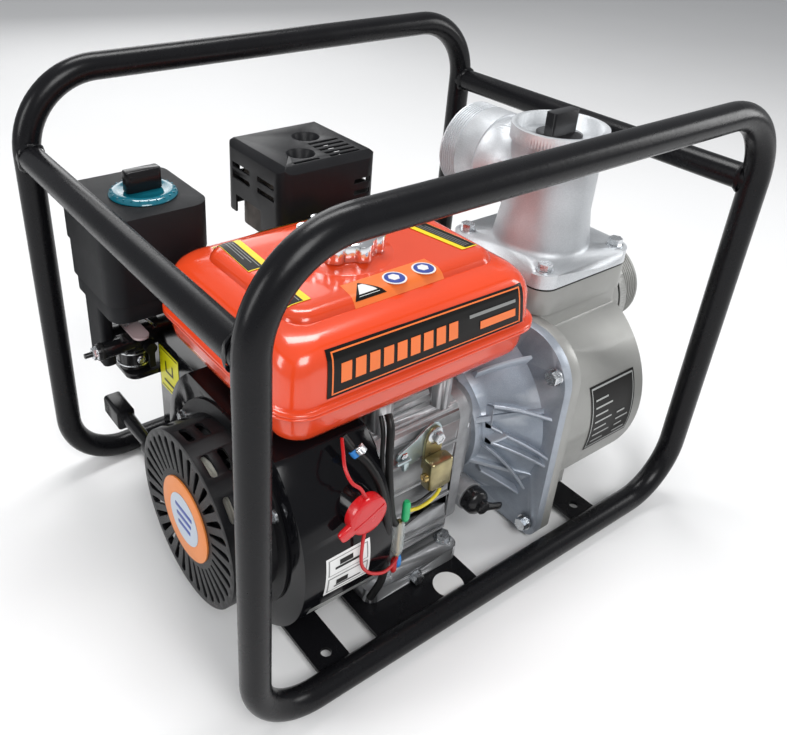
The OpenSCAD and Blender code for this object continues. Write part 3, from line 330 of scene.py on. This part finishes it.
def loft(bm, rings, cap_start=True, cap_end=True, mat=0):
    """Joins closed rings of equal length with quads."""
    rows = [[bm.verts.new(p) for p in ring] for ring in rings]
    n = len(rows[0])
    for a, b in zip(rows, rows[1:]):
        for k in range(n):
            m = (k + 1) % n
            f = bm.faces.new((a[k], a[m], b[m], b[k]))
            f.material_index = mat
    if cap_start:
        bm.faces.new(list(reversed(rows[0]))).material_index = mat
    if cap_end:
        bm.faces.new(rows[-1]).material_index = mat
    return rows


def frame_at(origin, axis):
    """Matrix that takes +Z to the axis and the origin to the point."""
    axis = Vector(axis).normalized()
    return Matrix.Translation(Vector(origin)) @ axis.to_track_quat("Z", "Y").to_matrix().to_4x4()


def lathe(bm, profile, origin=(0, 0, 0), axis=(0, 0, 1), steps=64, cap_start=True, cap_end=True, mat=0):
    """Turns (radius, height) points about an axis."""
    m = frame_at(origin, axis)
    loft(bm, [circle(r, h, steps, m) for r, h in profile], cap_start, cap_end, mat)


def block(bm, x0, x1, y0, y1, z0, z1, r=1.0, matrix=None, mat=0, edge=None):
    """Block with rounded upright edges and softened top and bottom."""
    e = min(0.8, (z1 - z0) / 4) if edge is None else edge
    b = e * 0.3
    rings = [corner_ring(x0 + i, x1 - i, y0 + i, y1 - i, radius, z, 4)
             for i, radius, z in ((e, max(r - e, 0.1), z0), (b, r, z0 + b), (0, r, z0 + e), (0, r, z1 - e),
                                  (b, r, z1 - b), (e, max(r - e, 0.1), z1))]
    if matrix is not None:
        rings = [[matrix @ p for p in ring] for ring in rings]
    loft(bm, rings, mat=mat)


def catmull(points, per=8):
    """A smooth curve through the points, with per steps from each to the next."""
    pts = [Vector(p) for p in points]
    out = []
    for i in range(len(pts) - 1):
        a, b, c, d = pts[max(i - 1, 0)], pts[i], pts[i + 1], pts[min(i + 2, len(pts) - 1)]
        for k in range(per):
            f = k / per
            out.append(0.5 * (2 * b + (c - a) * f + (2 * a - 5 * b + 4 * c - d) * f * f
                              + (3 * b - a - 3 * c + d) * f ** 3))
    out.append(pts[-1])
    return out


def tube(bm, points, radius, sides=12, mat=0, radii=None):
    """Sweeps a round tube along points, carrying its frame so that it never twists."""
    t0 = (points[1] - points[0]).normalized()
    side = t0.cross(Vector((0, 0, 1)))
    side = side.normalized() if side.length > 0.1 else Vector((1, 0, 0))
    rings = []
    for i, p in enumerate(points):
        t = (points[min(i + 1, len(points) - 1)] - points[max(i - 1, 0)]).normalized()
        side = (side - t * side.dot(t)).normalized()
        up = t.cross(side)
        r = radii[i] if radii else radius
        rings.append([p + r * (math.cos(ROUND * k / sides) * side + math.sin(ROUND * k / sides) * up)
                      for k in range(sides)])
    loft(bm, rings, mat=mat)


def tree_of(*objs):
    """A surface to lay labels on, in millimetres."""
    verts, faces = [], []
    for o in objs:
        base = len(verts)
        verts += [v.co / MM for v in o.data.vertices]
        faces += [[base + i for i in p.vertices] for p in o.data.polygons]
    return BVHTree.FromPolygons(verts, faces)


def decal(name, tree, corners, direction, mat, body, parts=((0, 1, 0, 1, 0),), lift=0.25, nu=14, nv=8):
    """Lays patches on a surface, each a little above the one before.

    corners run around the label, and parts are (u0, u1, v0, v1, material index).
    """
    a, b, c, d = [Vector(p) for p in corners]
    direction = Vector(direction).normalized()
    bm = bmesh.new()
    for layer, (u0, u1, v0, v1, mi) in enumerate(parts):
        rows = []
        for j in range(nv + 1):
            row = []
            for i in range(nu + 1):
                u = u0 + (u1 - u0) * i / nu
                v = v0 + (v1 - v0) * j / nv
                p = (a * (1 - u) + b * u) * (1 - v) + (d * (1 - u) + c * u) * v
                hit, normal, _, _ = tree.ray_cast(p - direction * 60, direction, 140)
                if hit is None:
                    hit, normal = p, -direction
                if normal.dot(direction) > 0:
                    normal = -normal
                row.append(bm.verts.new(hit + normal * (lift + 0.05 * min(layer, 12))))
            rows.append(row)
        for j in range(nv):
            for i in range(nu):
                f = bm.faces.new((rows[j][i], rows[j][i + 1], rows[j + 1][i + 1], rows[j + 1][i]))
                f.material_index = mi
    return add(name, bm, mat, body)


# ---------------------------------------------------------------- camera, floor and light
cam_data = bpy.data.cameras.new("camera")
cam_data.sensor_width = 36.0
cam_data.lens = 38.175
cam_data.shift_x = 0.0863
cam_data.shift_y = -0.0698
camera = bpy.data.objects.new("camera", cam_data)
camera.location = (-0.4720, -0.5397, 0.6465)
camera.rotation_euler = (1.0290, -0.0351, -0.6204)
bpy.context.scene.collection.objects.link(camera)
bpy.context.scene.camera = camera

floor_mesh = bpy.data.meshes.new("floor")
floor_mesh.from_pydata([(-6, -6, 0), (6, -6, 0), (6, 6, 0), (-6, 6, 0)], [], [(0, 1, 2, 3)])
floor = bpy.data.objects.new("floor", floor_mesh)
floor.location.z = -0.0002
bpy.context.scene.collection.objects.link(floor)
floor_mesh.materials.append(material("studio_floor", (0.80, 0.80, 0.80), rough=0.7, vary=0.01, vary_scale=3))


def area_light(name, where, target, size, power, size_y=None, color=(1, 1, 1)):
    data = bpy.data.lights.new(name, "AREA")
    data.energy = power
    data.color = color
    data.size = size
    if size_y:
        data.shape = "RECTANGLE"
        data.size_y = size_y
    obj = bpy.data.objects.new(name, data)
    obj.location = where
    obj.rotation_euler = (Vector(target) - Vector(where)).to_track_quat("-Z", "Y").to_euler()
    bpy.context.scene.collection.objects.link(obj)
    return obj


area_light("key", (-0.6, -1.5, 1.7), (0, 0, 0.2), 0.9, 27)
area_light("top", (0.2, 0.5, 2.0), (0, 0, 0.2), 1.2, 24, size_y=0.5)
area_light("left", (-1.9, 0.2, 1.0), (0, 0, 0.25), 0.5, 13, size_y=1.0)
area_light("right", (1.8, -0.9, 0.9), (0, 0, 0.2), 0.5, 12, size_y=1.0)
area_light("rear", (0.6, 2.0, 1.1), (0, 0, 0.3), 1.2, 10)
world = bpy.data.worlds.new("studio")
world.use_nodes = True
world.node_tree.nodes["Background"].inputs["Color"].default_value = (0.92, 0.94, 0.97, 1.0)
world.node_tree.nodes["Background"].inputs["Strength"].default_value = 0.38
bpy.context.scene.world = world
bpy.context.scene.view_settings.view_transform = "Standard"


# ---------------------------------------------------------------- fuel tank
def tank_rings(rows):
    """Outlines of the tank, from (height above the seam, inset, corner radius) rows; radius None follows the inset."""
    return [corner_ring(TANK_X0 + i, TANK_X1 - i, TANK_Y0 + i, TANK_Y1 - i, max(6.0, 30.0 - i) if r is None else r,
                        SEAM + z, 10)
            for z, i, r in rows]


bm = bmesh.new()
loft(bm, tank_rings(((0.2, 9.0, None), (0.2, 0.8, None), (0.9, 0.1, None), (2.2, 0.1, None), (3.2, 0.9, None),
                     (3.6, 3.4, None), (4.4, 5.8, None), (7, 6.6, None), (18, 7.4, None), (30, 8.6, None),
                     (38, 10.2, 24), (44, 13.6, 24), (48.5, 18.5, 24), (51.2, 24.5, 22), (52.6, 31, 20),
                     (53.4, 40, 16), (54.0, 56, 12))))
# embossed panel with a soft shoulder, and the raised ring under the cap
loft(bm, [corner_ring(-180 + i, 34 - i, -112 + i, 33 - i, r, SEAM + z, 10)
          for i, r, z in ((0, 20, 52.0), (1.2, 19, 55), (3.2, 17, 57.6), (6.0, 14, 59.6), (9.5, 11, 60.7),
                          (14, 9, 61.0))], cap_start=False)
lathe(bm, [(47, 60.6), (44, 61.6), (39, 62.4), (35, 64.5), (31.5, 66), (30, 66), (28, 65.6)],
      origin=(CAP_X, CAP_Y, SEAM), cap_start=False)
tank_upper = add("tank_upper_shell", bm, "tank", "pump_set", "tank_top", smooth=50)
bm = bmesh.new()
loft(bm, tank_rings(((-0.1, 9.0, None), (-0.1, 0.8, None), (-0.8, 0.1, None), (-2.2, 0.1, None), (-3.0, 0.9, None),
                     (-3.4, 3.4, None), (-4.2, 5.8, None), (-7, 6.6, None), (-20, 8.2, None), (-27, 10.2, None),
                     (-32, 13.6, 22), (-35.6, 18, 20), (-37.4, 23, 18), (-37.9, 30, 16))))
add("tank_lower_shell", bm, "tank", "pump_set", "tank_bottom", smooth=50)

tank_tree = tree_of(tank_upper)
# front label: a dark field with a thin frame, nine plain blocks and two rules
parts = [(0, 1, 0, 1, 0), (0.02, 0.98, 0.05, 0.08, 1), (0.02, 0.98, 0.92, 0.95, 1), (0.02, 0.027, 0.05, 0.95, 1),
         (0.973, 0.98, 0.05, 0.95, 1)]
parts += [(0.06 + 0.065 * k, 0.108 + 0.065 * k, 0.26, 0.68, 1) for k in range(9)]
parts += [(0.69, 0.95, 0.62, 0.70, 2), (0.75, 0.95, 0.26, 0.46, 1)]
decal("tank_front_label", tank_tree, [(-172, TANK_Y0, 272.5), (38, TANK_Y0, 271.5), (34, TANK_Y0, 308),
                                      (-170, TANK_Y0, 311)], (0, 1, 0),
      ["label_black", "label_orange", "label_grey"], "pump_set", nu=30, nv=22, lift=0.6, parts=parts)


def warning_blank(name, corners):
    """A plain two-tone sticker on top of the tank: a yellow band, a dark field and three plain rules."""
    parts = [(0, 1, 0, 1, 0), (0.0, 1, 0.0, 0.28, 1), (0.02, 0.98, 0.3, 0.98, 2)]
    parts += [(0.06, 0.94 - 0.12 * (k % 3), 0.40 + 0.14 * k, 0.44 + 0.14 * k, 3) for k in range(3)]
    decal(name, tank_tree, [(x, y, 330) for x, y in corners], (0, 0, -1),
          ["label_yellow", "label_yellow", "label_black", "label_grey"], "pump_set", parts=parts, nu=16, nv=12,
          lift=0.5)


warning_blank("tank_label_rear", [(-112, 66), (-18, 62), (-20, 44), (-114, 48)])
warning_blank("tank_label_left", [(-146, 36), (-149, -30), (-170, -30), (-166, 38)])
warning_blank("tank_label_front_left", [(-151, -46), (-152, -92), (-174, -92), (-173, -46)])
warning_blank("tank_label_right", [(6, -92), (-8, -16), (12, -16), (24, -92)])
decal("tank_sticker_triangle", tank_tree, [(-122, -109, 340), (-91, -109, 340), (-106, -91, 340), (-107, -91, 340)],
      (0, 0, -1), ["label_black", "white"], "pump_set", parts=[(0, 1, 0, 1, 0), (0.13, 0.87, 0.12, 0.84, 1)],
      nu=6, nv=6)
for k, x in enumerate((-76, -45)):
    bm = bmesh.new()
    lathe(bm, [(10.2, 0.1), (10.2, 0.4), (9.2, 0.45)], origin=(x, -100, PANEL), steps=40, mat=0)
    lathe(bm, [(8.6, 0.3), (8.6, 0.6)], origin=(x, -100, PANEL), steps=40, mat=1)
    lathe(bm, [(5.2, 0.5), (5.0, 0.8)], origin=(x, -99, PANEL), steps=6, mat=2)
    add(f"tank_sticker_round_{k}", bm, ["white", "label_blue", "white"], "pump_set")
decal("tank_sticker_field", tank_tree, [(-124, -112, 340), (-32, -112, 340), (-33, -87, 340), (-121, -87, 340)],
      (0, 0, -1), ["label_orange"], "pump_set", lift=0.12)

# ---------------------------------------------------------------- starter cover, shroud and their labels
drum_tree = tree_of(NODES["fan_shroud"])
bm = bmesh.new()
hub = (STARTER_X, CRANK_Y, CRANK_Z)
lathe(bm, [(40, 0.0), (40, 1.4), (39.2, 1.9), (25.6, 1.9), (25.4, 1.7), (0.5, 1.7)], origin=hub, axis=(-1, 0, 0),
      steps=72, mat=0)
lathe(bm, [(25.0, 1.8), (25.0, 2.1), (0.5, 2.1)], origin=hub, axis=(-1, 0, 0), steps=72, mat=1)
for k in range(3):
    block(bm, -15 + 2 * k, 15 - 2 * k, -2.1, 2.1, 2.0, 2.3, 1.0,
          frame_at((STARTER_X, CRANK_Y, CRANK_Z + 9 - 9 * k), (-1, 0, 0)), mat=2, edge=0.1)
add("starter_label", bm, ["hub_orange", "hub_pale", "label_blue"], "pump_set")

decal("shroud_label", drum_tree, [(-186, -190, 93), (-139, -190, 91), (-142, -190, 137), (-186, -190, 136)],
      (0, 1, 0), ["white", "label_grey", "label_black"], "pump_set", nu=10, nv=16,
      parts=[(0, 1, 0, 1, 0), (0.05, 0.95, 0.53, 0.94, 1), (0.08, 0.92, 0.55, 0.92, 0), (0.05, 0.95, 0.06, 0.47, 1),
             (0.08, 0.92, 0.09, 0.44, 0), (0.2, 0.75, 0.66, 0.72, 2), (0.3, 0.6, 0.74, 0.86, 2),
             (0.2, 0.8, 0.16, 0.2, 2), (0.24, 0.5, 0.22, 0.36, 2)])
decal("shroud_strip", drum_tree, [(-196, -190, 68), (-124, -190, 66), (-126, -190, 76), (-196, -190, 79)], (0, 1, 0),
      ["label_silver", "label_grey"], "pump_set", nu=12, nv=4,
      parts=[(0, 1, 0, 1, 0), (0.04, 0.96, 0.25, 0.34, 1), (0.04, 0.8, 0.55, 0.64, 1)])
decal("duct_label", drum_tree, [(-200, 71, 139), (-200, 112, 139), (-200, 112, 188), (-200, 71, 188)], (1, 0, 0),
      ["label_lime", "label_black"], "pump_set", nu=6, nv=6,
      parts=[(0, 1, 0, 1, 0), (0.06, 0.94, 0.04, 0.07, 1), (0.06, 0.94, 0.93, 0.96, 1), (0.3, 0.7, 0.45, 0.50, 1),
             (0.3, 0.36, 0.5, 0.72, 1), (0.64, 0.7, 0.5, 0.72, 1), (0.2, 0.8, 0.2, 0.25, 1)])

# ---------------------------------------------------------------- plates on casing and frame
casing_tree = tree_of(NODES["pump_casing"])


def on_casing(x, angle, r=120.0):
    """A point at the angle above level on the casing's near side."""
    a = math.radians(angle)
    return (x, CRANK_Y - r * math.cos(a), CRANK_Z + r * math.sin(a))


# name plate: a thin frame and rows of plain rules
parts = [(0, 1, 0, 1, 0), (0.03, 0.97, 0.03, 0.055, 1), (0.03, 0.97, 0.945, 0.97, 1), (0.03, 0.045, 0.03, 0.97, 1),
         (0.955, 0.97, 0.03, 0.97, 1)]
parts += [(0.1, 0.1 + 0.28 + 0.1 * (k % 2), 0.12 + 0.11 * k, 0.145 + 0.11 * k, 1) for k in range(7)]
parts += [(0.6, 0.88 - 0.1 * (k % 2), 0.12 + 0.11 * k, 0.145 + 0.11 * k, 1) for k in range(4)]
decal("casing_plate", casing_tree,
      [on_casing(140, -12), on_casing(208, -12), on_casing(208, 24), on_casing(140, 24)], (0, 1, 0),
      ["label_black", "label_silver"], "pump_set", parts=parts, nu=10, nv=12, lift=0.4)
bm = bmesh.new()
lathe(bm, [(15, 14.1), (15, 14.5), (14.4, 14.6), (0.3, 14.6)], origin=(-37, -172, 0), steps=48)
add("frame_sticker", bm, "white", "pump_set")

# ---------------------------------------------------------------- hose threads on the two ports
def threaded(name, node, centre, axis, start, pitch, root):
    """The CAD casting with rings of grooves cut into its port."""
    obj = bpy.data.objects.new(name, NODES[node].data.copy())
    bpy.context.scene.collection.objects.link(obj)
    bm = bmesh.new()
    m = frame_at(centre, axis)
    steps, outside = 96, THREAD_CREST + 1
    for k in range(THREAD_RINGS):
        h = start + pitch * k
        rows = [[bm.verts.new(p) for p in circle(r, h + dh, steps, m)]
                for r, dh in ((root, 0.55), (root, pitch - 0.95), (outside, pitch - 0.35), (outside, -0.05))]
        for a, b in zip(rows, rows[1:] + rows[:1]):
            for s in range(steps):
                t = (s + 1) % steps
                bm.faces.new((a[s], a[t], b[t], b[s]))
    bmesh.ops.recalc_face_normals(bm, faces=bm.faces)
    mesh = bpy.data.meshes.new("groove_cutter")
    bm.to_mesh(mesh)
    bm.free()
    mesh.transform(Matrix.Scale(MM, 4))
    cutter = bpy.data.objects.new("groove_cutter", mesh)
    bpy.context.scene.collection.objects.link(cutter)
    weld = obj.modifiers.new("weld", "WELD")
    weld.merge_threshold = 2e-6
    cut = obj.modifiers.new("grooves", "BOOLEAN")
    cut.object = cutter
    cut.operation = "DIFFERENCE"
    cut.solver = "EXACT"
    bpy.context.view_layer.update()
    done = bpy.data.meshes.new_from_object(obj.evaluated_get(bpy.context.evaluated_depsgraph_get()))
    obj.modifiers.clear()
    obj.data = done
    bpy.data.objects.remove(cutter)
    bpy.data.meshes.remove(mesh)
    smooth_by_angle(done, 30)
    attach(obj, "pump_set")
    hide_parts(node)


threaded("tower_casting", "discharge_tower", (TOWER_X, 0, PORT_Z), (0, 1, 0), TOWER_START, TOWER_PITCH, TOWER_ROOT)
threaded("suction_casting", "suction_port", (0, SUCTION_Y, SUCTION_Z), (1, 0, 0), SUCTION_START, SUCTION_PITCH,
         SUCTION_ROOT)


# ---------------------------------------------------------------- wires and hose
def cable(name, points, radius, mat, node=None):
    """A lead or hose held at both ends, on a smooth curve through the points."""
    bm = bmesh.new()
    tube(bm, catmull(points), radius, 14)
    add(name, bm, mat, "pump_set", node, smooth=60)


cable("harness_sleeve", [(-104, -138, 226), (-107, -146, 218), (-111, -152, 191), (-112, -157, 165),
                         (-111, -159.5, 145), (-108, -160, 130), (-104, -160, 122)], 3.4, "rubber", "wiring_loom")
cable("harness_lead", [(-110, -136, 226), (-113, -144, 214), (-117, -150, 192), (-117, -156, 165),
                       (-115, -158, 142), (-111, -158, 122)], 1.9, "rubber")
cable("breather_hose", [(-150, -138, 224), (-145, -149, 213), (-138, -157, 203), (-131, -165, 184),
                        (-125, -169, 155), (-120, -168, 122), (-117, -166, 92), (-117, -163, 62),
                        (-123, -157, 38)], 3.6, "rubber")
cable("sensor_wire", [(-44, -149, 133), (-47, -152, 124), (-60, -155, 121), (-76, -159, 125), (-88, -162, 131),
                      (-94, -163, 134)], 1.7, "yellow_wire")
cable("sensor_wire_black", [(-45, -147, 133), (-50, -150, 127), (-64, -153, 126), (-78, -157, 130),
                            (-88, -160, 135), (-93, -161, 138)], 1.5, "rubber")
cable("switch_wire_upper", [(-152, -175, 187), (-158, -174, 200), (-165, -171, 208), (-166, -163, 217),
                            (-160, -152, 223), (-154, -142, 226)], 1.5, "red_wire")
cable("switch_wire_lower", [(-152, -176, 155), (-155, -177.5, 140), (-154, -177.5, 118), (-144, -177.5, 102),
                            (-128, -176.5, 92), (-112, -171, 87), (-103, -165, 84)], 1.5, "red_wire")


def sleeve(bm, x, y, z, step, radii, sides=12, mat=0):
    """An upright terminal sleeve whose radius changes every step."""
    tube(bm, [Vector((x, y, z + step * k)) for k in range(len(radii))], None, sides, mat=mat, radii=radii)


# clear cover over a brass terminal, a green cover above it, and a red and a blue one below
bm = bmesh.new()
sleeve(bm, -100, -161, 84, 3, [3.4, 4.8, 5.4, 5.6, 5.6, 5.2, 5.6, 5.6, 5.6, 5.2, 5.6, 5.4, 4.8, 3.6], 16, mat=0)
sleeve(bm, -100, -161, 80, 4, [2.4] * 12, mat=4)
sleeve(bm, -96, -163, 124, 2, [2.6, 3.5, 3.8, 3.8, 3.6, 3.8, 3.8, 3.6, 3.8, 3.7, 3.4, 2.4], mat=1)
sleeve(bm, -103, -162, 64, 2, [1.8, 2.8, 3.0, 3.0, 3.0, 2.8, 3, 2.8, 2], mat=2)
sleeve(bm, -97, -161, 66, 2, [1.8, 2.8, 3.0, 3.0, 3.0, 2.8, 2.6, 2], mat=3)
add("wire_terminals", bm, ["clear", "green", "red_wire", "blue", "brass_nut"], "pump_set", "wire_connectors")

# ---------------------------------------------------------------- starter rope between the reel and its grip
bm = bmesh.new()
tube(bm, [Vector((ROPE_X, 12 + 1.2 * k, ROPE_Z)) for k in range(56)], None, 12,
     radii=[2.4 + 0.18 * math.sin(k * 2.1) for k in range(56)])
rope = add("starter_rope_run", bm, "rope", None, smooth=60)
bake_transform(rope)


# ---------------------------------------------------------------- bell housing ribs
def bell_web(bm, start, end, rise):
    """A cast web along the cone between two (x, angle) points, standing rise millimetres above it."""
    rings = []
    for k in range(13):
        f = k / 12
        x, a = start[0] + (end[0] - start[0]) * f, math.radians(start[1] + (end[1] - start[1]) * f)
        out, side = Vector((0, -math.cos(a), math.sin(a))), Vector((0, math.sin(a), math.cos(a)))
        foot = 62 + 42 * (x - 38) / 45
        top = foot + rise[0] + (rise[1] - rise[0]) * f
        section = ((foot, -3.4), (top - 0.8, -1.7), (top, -1.0), (top, 1.0), (top - 0.8, 1.7), (foot, 3.4))
        rings.append([Vector((x, CRANK_Y, CRANK_Z)) + out * r + side * w for r, w in section])
    loft(bm, rings)


# one quarter of the webs, repeated in each quarter
WEBS = (((46, 31), (84, 18), (11, 14)), ((45, 30), (42, 16), (11, 10)), ((42, 16), (50, 11), (10, 9)),
        ((42, 2), (52, 9), (10, 12)), ((52, 9), (84, -5), (12, 13)), ((42, 2), (84, -10), (10, 13)),
        ((38, -1), (76, -29), (12, 17)), ((45, 58), (84, 50), (10, 13)))
bm = bmesh.new()
for turn in (0, 90, 180, 270):
    for start, end, rise in WEBS:
        bell_web(bm, (start[0], start[1] + turn), (end[0], end[1] + turn), rise)
# the webs take the lighter copy of the bell's aluminium, a painted highlight along the ribs
add("bell_rib_lattice", bm, "bell_edge", "pump_set")


# ---------------------------------------------------------------- low-oil unit on its bracket
def plate(bm, outline, y0, y1, mat=0):
    """A flat sheet whose outline is (x, z) points, between two y planes, with broken edges."""
    cx = sum(p[0] for p in outline) / len(outline)
    cz = sum(p[1] for p in outline) / len(outline)
    rings = []
    for y, k in ((y0, 0.985), (y0 + 0.3, 1.0), (y1 - 0.3, 1.0), (y1, 0.985)):
        rings.append([Vector((cx + (x - cx) * k, y, cz + (z - cz) * k)) for x, z in outline])
    loft(bm, rings, mat=mat)


def hex_bolt(bm, where, axis, across, height, washer=0.0, mat=0):
    """A flanged hexagon head with a chamfered crown."""
    r = across / math.sqrt(3)
    if washer:
        lathe(bm, [(washer, 0), (washer, 0.8), (washer - 1.2, 1.6), (r * 0.95, 2.0)], origin=where, axis=axis,
              steps=32, mat=mat)
    lathe(bm, [(r, 1.2), (r, height - 0.9), (r * 0.86, height), (r * 0.55, height), (r * 0.5, height - 0.5)],
          origin=where, axis=axis, steps=6, mat=mat)


BRACKET = ((-90, 170), (-88, 176), (-70, 184), (-58, 192), (-50, 195), (-44, 193), (-40, 187), (-39, 178), (-42, 170),
           (-48, 166), (-60, 163), (-72, 158), (-76, 160), (-84, 162))
STRAP = ((-61, 150), (-60.5, 178), (-58, 187), (-53, 191.5), (-47, 191.5), (-42, 187), (-40.5, 178), (-41, 150))
bm = bmesh.new()
plate(bm, BRACKET, -139.4, -137.0)
block(bm, -92, -76, -143, -140.6, 166, 169.5, 0.8)
block(bm, -84, -78, -142.5, -139, 157, 168, 0.8)
hex_bolt(bm, (-50, -142.4, 183), (0, -1, 0), 10.5, 7.0, 8.6, mat=1)
for x in (-86, -84):
    hex_bolt(bm, (x, -141, 176), (0, -1, 0), 5, 2.6, 0, mat=1)
plate(bm, STRAP, -142.6, -139.6, mat=2)
block(bm, -63.5, -37, -157, -142.4, 133, 163.5, 4.0, mat=2, edge=2.2)
lathe(bm, [(3.6, 0), (4.3, 0.6), (4.3, 3.0), (3.4, 4.0), (1.5, 4.0), (1.3, 3.4)], origin=(-63, -150, 147),
      axis=(-1, 0, 0), steps=24, mat=3)
lathe(bm, [(5.2, 0), (5.2, 4.5), (4.2, 5.2)], origin=(-45, -149, 133.5), axis=(0, 0, -1), steps=24, mat=4)
add("sensor_bracket", bm, ["zinc_blue", "zinc", "brass", "brass_nut", "rubber"], "pump_set", "oil_alert_unit")

# ---------------------------------------------------------------- air cleaner's dial with its grip
bm = bmesh.new()
dial = Matrix.Translation(KNOB)
lathe(bm, [(20, 0.3), (31, 0.3), (31.2, 1.0), (30.2, 2.6), (27.5, 4.4), (24.5, 5.2), (22.5, 5.0), (21, 4.0),
           (8, 3.6), (3, 3.6)], origin=KNOB, steps=80)
for k in range(24):
    block(bm, 22.5, 29.6, -0.45, 0.45, 3.2, 4.4, 0.3, dial @ Matrix.Rotation(ROUND * k / 24, 4, "Z"), edge=0.15)
add("filter_dial", bm, "teal", "filter_knob_body", "filter_knob")
bm = bmesh.new()
block(bm, -17, 17, -6, 6, 3.6, 24, 2.6, dial, edge=1.6)
block(bm, -14, 14, -6.35, 6.35, 6, 20, 1.4, dial, edge=0.8)
add("filter_dial_grip", bm, "moulded", "filter_knob_body")

# ---------------------------------------------------------------- carburettor: solenoid collar, bowl rings, linkage
bm = bmesh.new()
lathe(bm, [(8.5, 0), (8.8, 0.5), (8.8, 2.5), (8.2, 3)], origin=(-253.6, 104, 204.5), axis=(1, 0, 0), steps=32, mat=1)
hex_bolt(bm, (-255.8, 104, 204.5), (-1, 0, 0), 11, 5.0, 6.8)
for z, r in ((178.5, 17.6), (164.5, 17.5)):
    lathe(bm, [(r - 1.2, -0.9), (r, -0.6), (r, 0.6), (r - 1.2, 0.9)], origin=BOWL + (z,), steps=48,
          cap_start=False, cap_end=False)
hex_bolt(bm, (BOWL[0], 117.2, 172), (0, -1, 0), 6, 3.5, 4.2)
tube(bm, catmull([(-222, 118, 212), (-216, 112, 222), (-206, 108, 224), (-198, 108, 216), (-192, 112, 208)]), 1.1, 10)
add("carburettor_fittings", bm, ["zinc", "rubber"], "pump_set")

# ---------------------------------------------------------------- oil filler cap: threaded body, dipstick and lever
bm = bmesh.new()
lathe(bm, [(12.4, 0), (13.6, 0.8), (13.8, 6), (13.4, 10.5), (11.5, 13.2), (8.6, 14.6), (7.6, 15.4), (7.4, 19.6),
           (6.2, 20.6), (0.4, 20.8)], origin=FILLER, axis=(0, -1, 0), steps=48)
m = Matrix.Translation((FILLER[0], -154, FILLER[2])) @ Matrix.Rotation(math.radians(25), 4, "Y")
loft(bm, [[m @ Vector((x, h * math.cos(ROUND * k / 20), w * math.sin(ROUND * k / 20))) for k in range(20)]
          for x, h, w in ((2, 2.6, 5.6), (8, 2.8, 5.0), (16, 2.7, 4.0), (24, 2.7, 4.4), (28.5, 2.4, 4.2),
                          (30, 1.4, 2.6))])
lathe(bm, [(8.3, 0), (8.3, 33), (3, 33.2), (3, 66)], origin=(FILLER[0], -137, FILLER[2]), axis=(0, 1, 0), steps=32)
add("oil_filler_cap", bm, "moulded", "dipstick_body", "dipstick")


# ---------------------------------------------------------------- engine switch: dial with a pointed lever
def squarish(size, value):
    """Fills out an ellipse towards a rounded square."""
    return size * math.copysign(abs(value) ** 0.6, value)


bm = bmesh.new()
lever = math.radians(25)
m = Matrix(((-math.cos(lever), math.sin(lever), 0, SWITCH[0]), (0, 0, -1, SWITCH[1]),
            (-math.sin(lever), -math.cos(lever), 0, SWITCH[2]), (0, 0, 0, 1)))
lathe(bm, [(17.2, 0), (18.0, 0.6), (18.2, 7.6), (17.6, 9.2), (16.2, 10.1), (13, 10.4), (0.4, 10.6)],
      origin=SWITCH, axis=(0, -1, 0), steps=64)
block(bm, -16.2, 16.2, -1.3, 1.3, 9.6, 11.0, 0.7, m, edge=0.4)
loft(bm, [[m @ Vector((x, squarish(w, math.cos(t)), 6.6 + squarish(h, math.sin(t))))
           for t in (ROUND * k / 24 for k in range(24))]
          for x, w, h in ((12, 6.6, 3.4), (20, 6.2, 3.2), (26, 5.6, 3.0), (28.4, 4.6, 2.4), (29, 3.0, 1.4))])
add("red_switch_dial", bm, "red", "switch", "engine_switch")

# ---------------------------------------------------------------- hose clip under the tank
bm = bmesh.new()
m = frame_at((-145, -149, 213), (Vector((-138, -157, 203)) - Vector((-150, -138, 224))))
loft(bm, [circle(r, h, 28, m) for r, h in ((3.7, -3.2), (4.6, -3.0), (4.8, 0), (4.6, 3.0), (3.7, 3.2))],
     False, False)
block(bm, -3.2, 3.2, 3.6, 9.2, -3.6, 3.6, 0.9, m, mat=1, edge=0.5)
block(bm, -5.2, -2.6, 4.6, 8.0, -2.4, 2.4, 0.6, m, mat=1, edge=0.4)
add("hose_clip", bm, ["blue", "zinc"], "pump_set")



# ---------------------------------------------------------------- weld beads where the cross bars meet the hoops
def bead_point(sx, sy, r, h, t):
    """A point at angle t on a rippled bead, which follows the hoop's round side."""
    wavy = r + 0.35 * math.sin(9 * t + h)
    x = max(-WELD_HALF_WIDTH, min(WELD_HALF_WIDTH, wavy * math.cos(t)))
    return Vector((sx * HOOP_X + x, sy * (181.5 + h * 0.8 + 1.0 * math.cos(2 * t)), BAR_Z + wavy * math.sin(t)))


bm = bmesh.new()
for sx in (-1, 1):
    for sy in (-1, 1):
        loft(bm, [[bead_point(sx, sy, r, h, ROUND * k / 48) for k in range(48)]
                  for r, h in ((12.4, -3.0), (13.6, -1.4), (14.4, 0.6), (14.9, 3.0), (13.0, 3.4))], False, False)
add("weld_beads", bm, "tube", "pump_set")

# ---------------------------------------------------------------- softened edges on the CAD's castings and mouldings
for name, width in (("crankcase", 1.2), ("side_cover", 1.2), ("bell_housing", 1.0), ("pump_casing", 1.4),
                    ("air_cleaner_cover", 2.2), ("air_cleaner_base", 1.0), ("muffler_guard", 0.8),
                    ("fan_shroud", 1.0), ("recoil_cover", 0.8), ("priming_plug", 1.2), ("fuel_cap", 1.0),
                    ("starter_handle", 1.2), ("cylinder_head", 0.6), ("rocker_cover", 1.5), ("carburettor", 0.8)):
    soften(name, width)
for obj in NODES.values():
    smooth_by_angle(obj.data, 35)
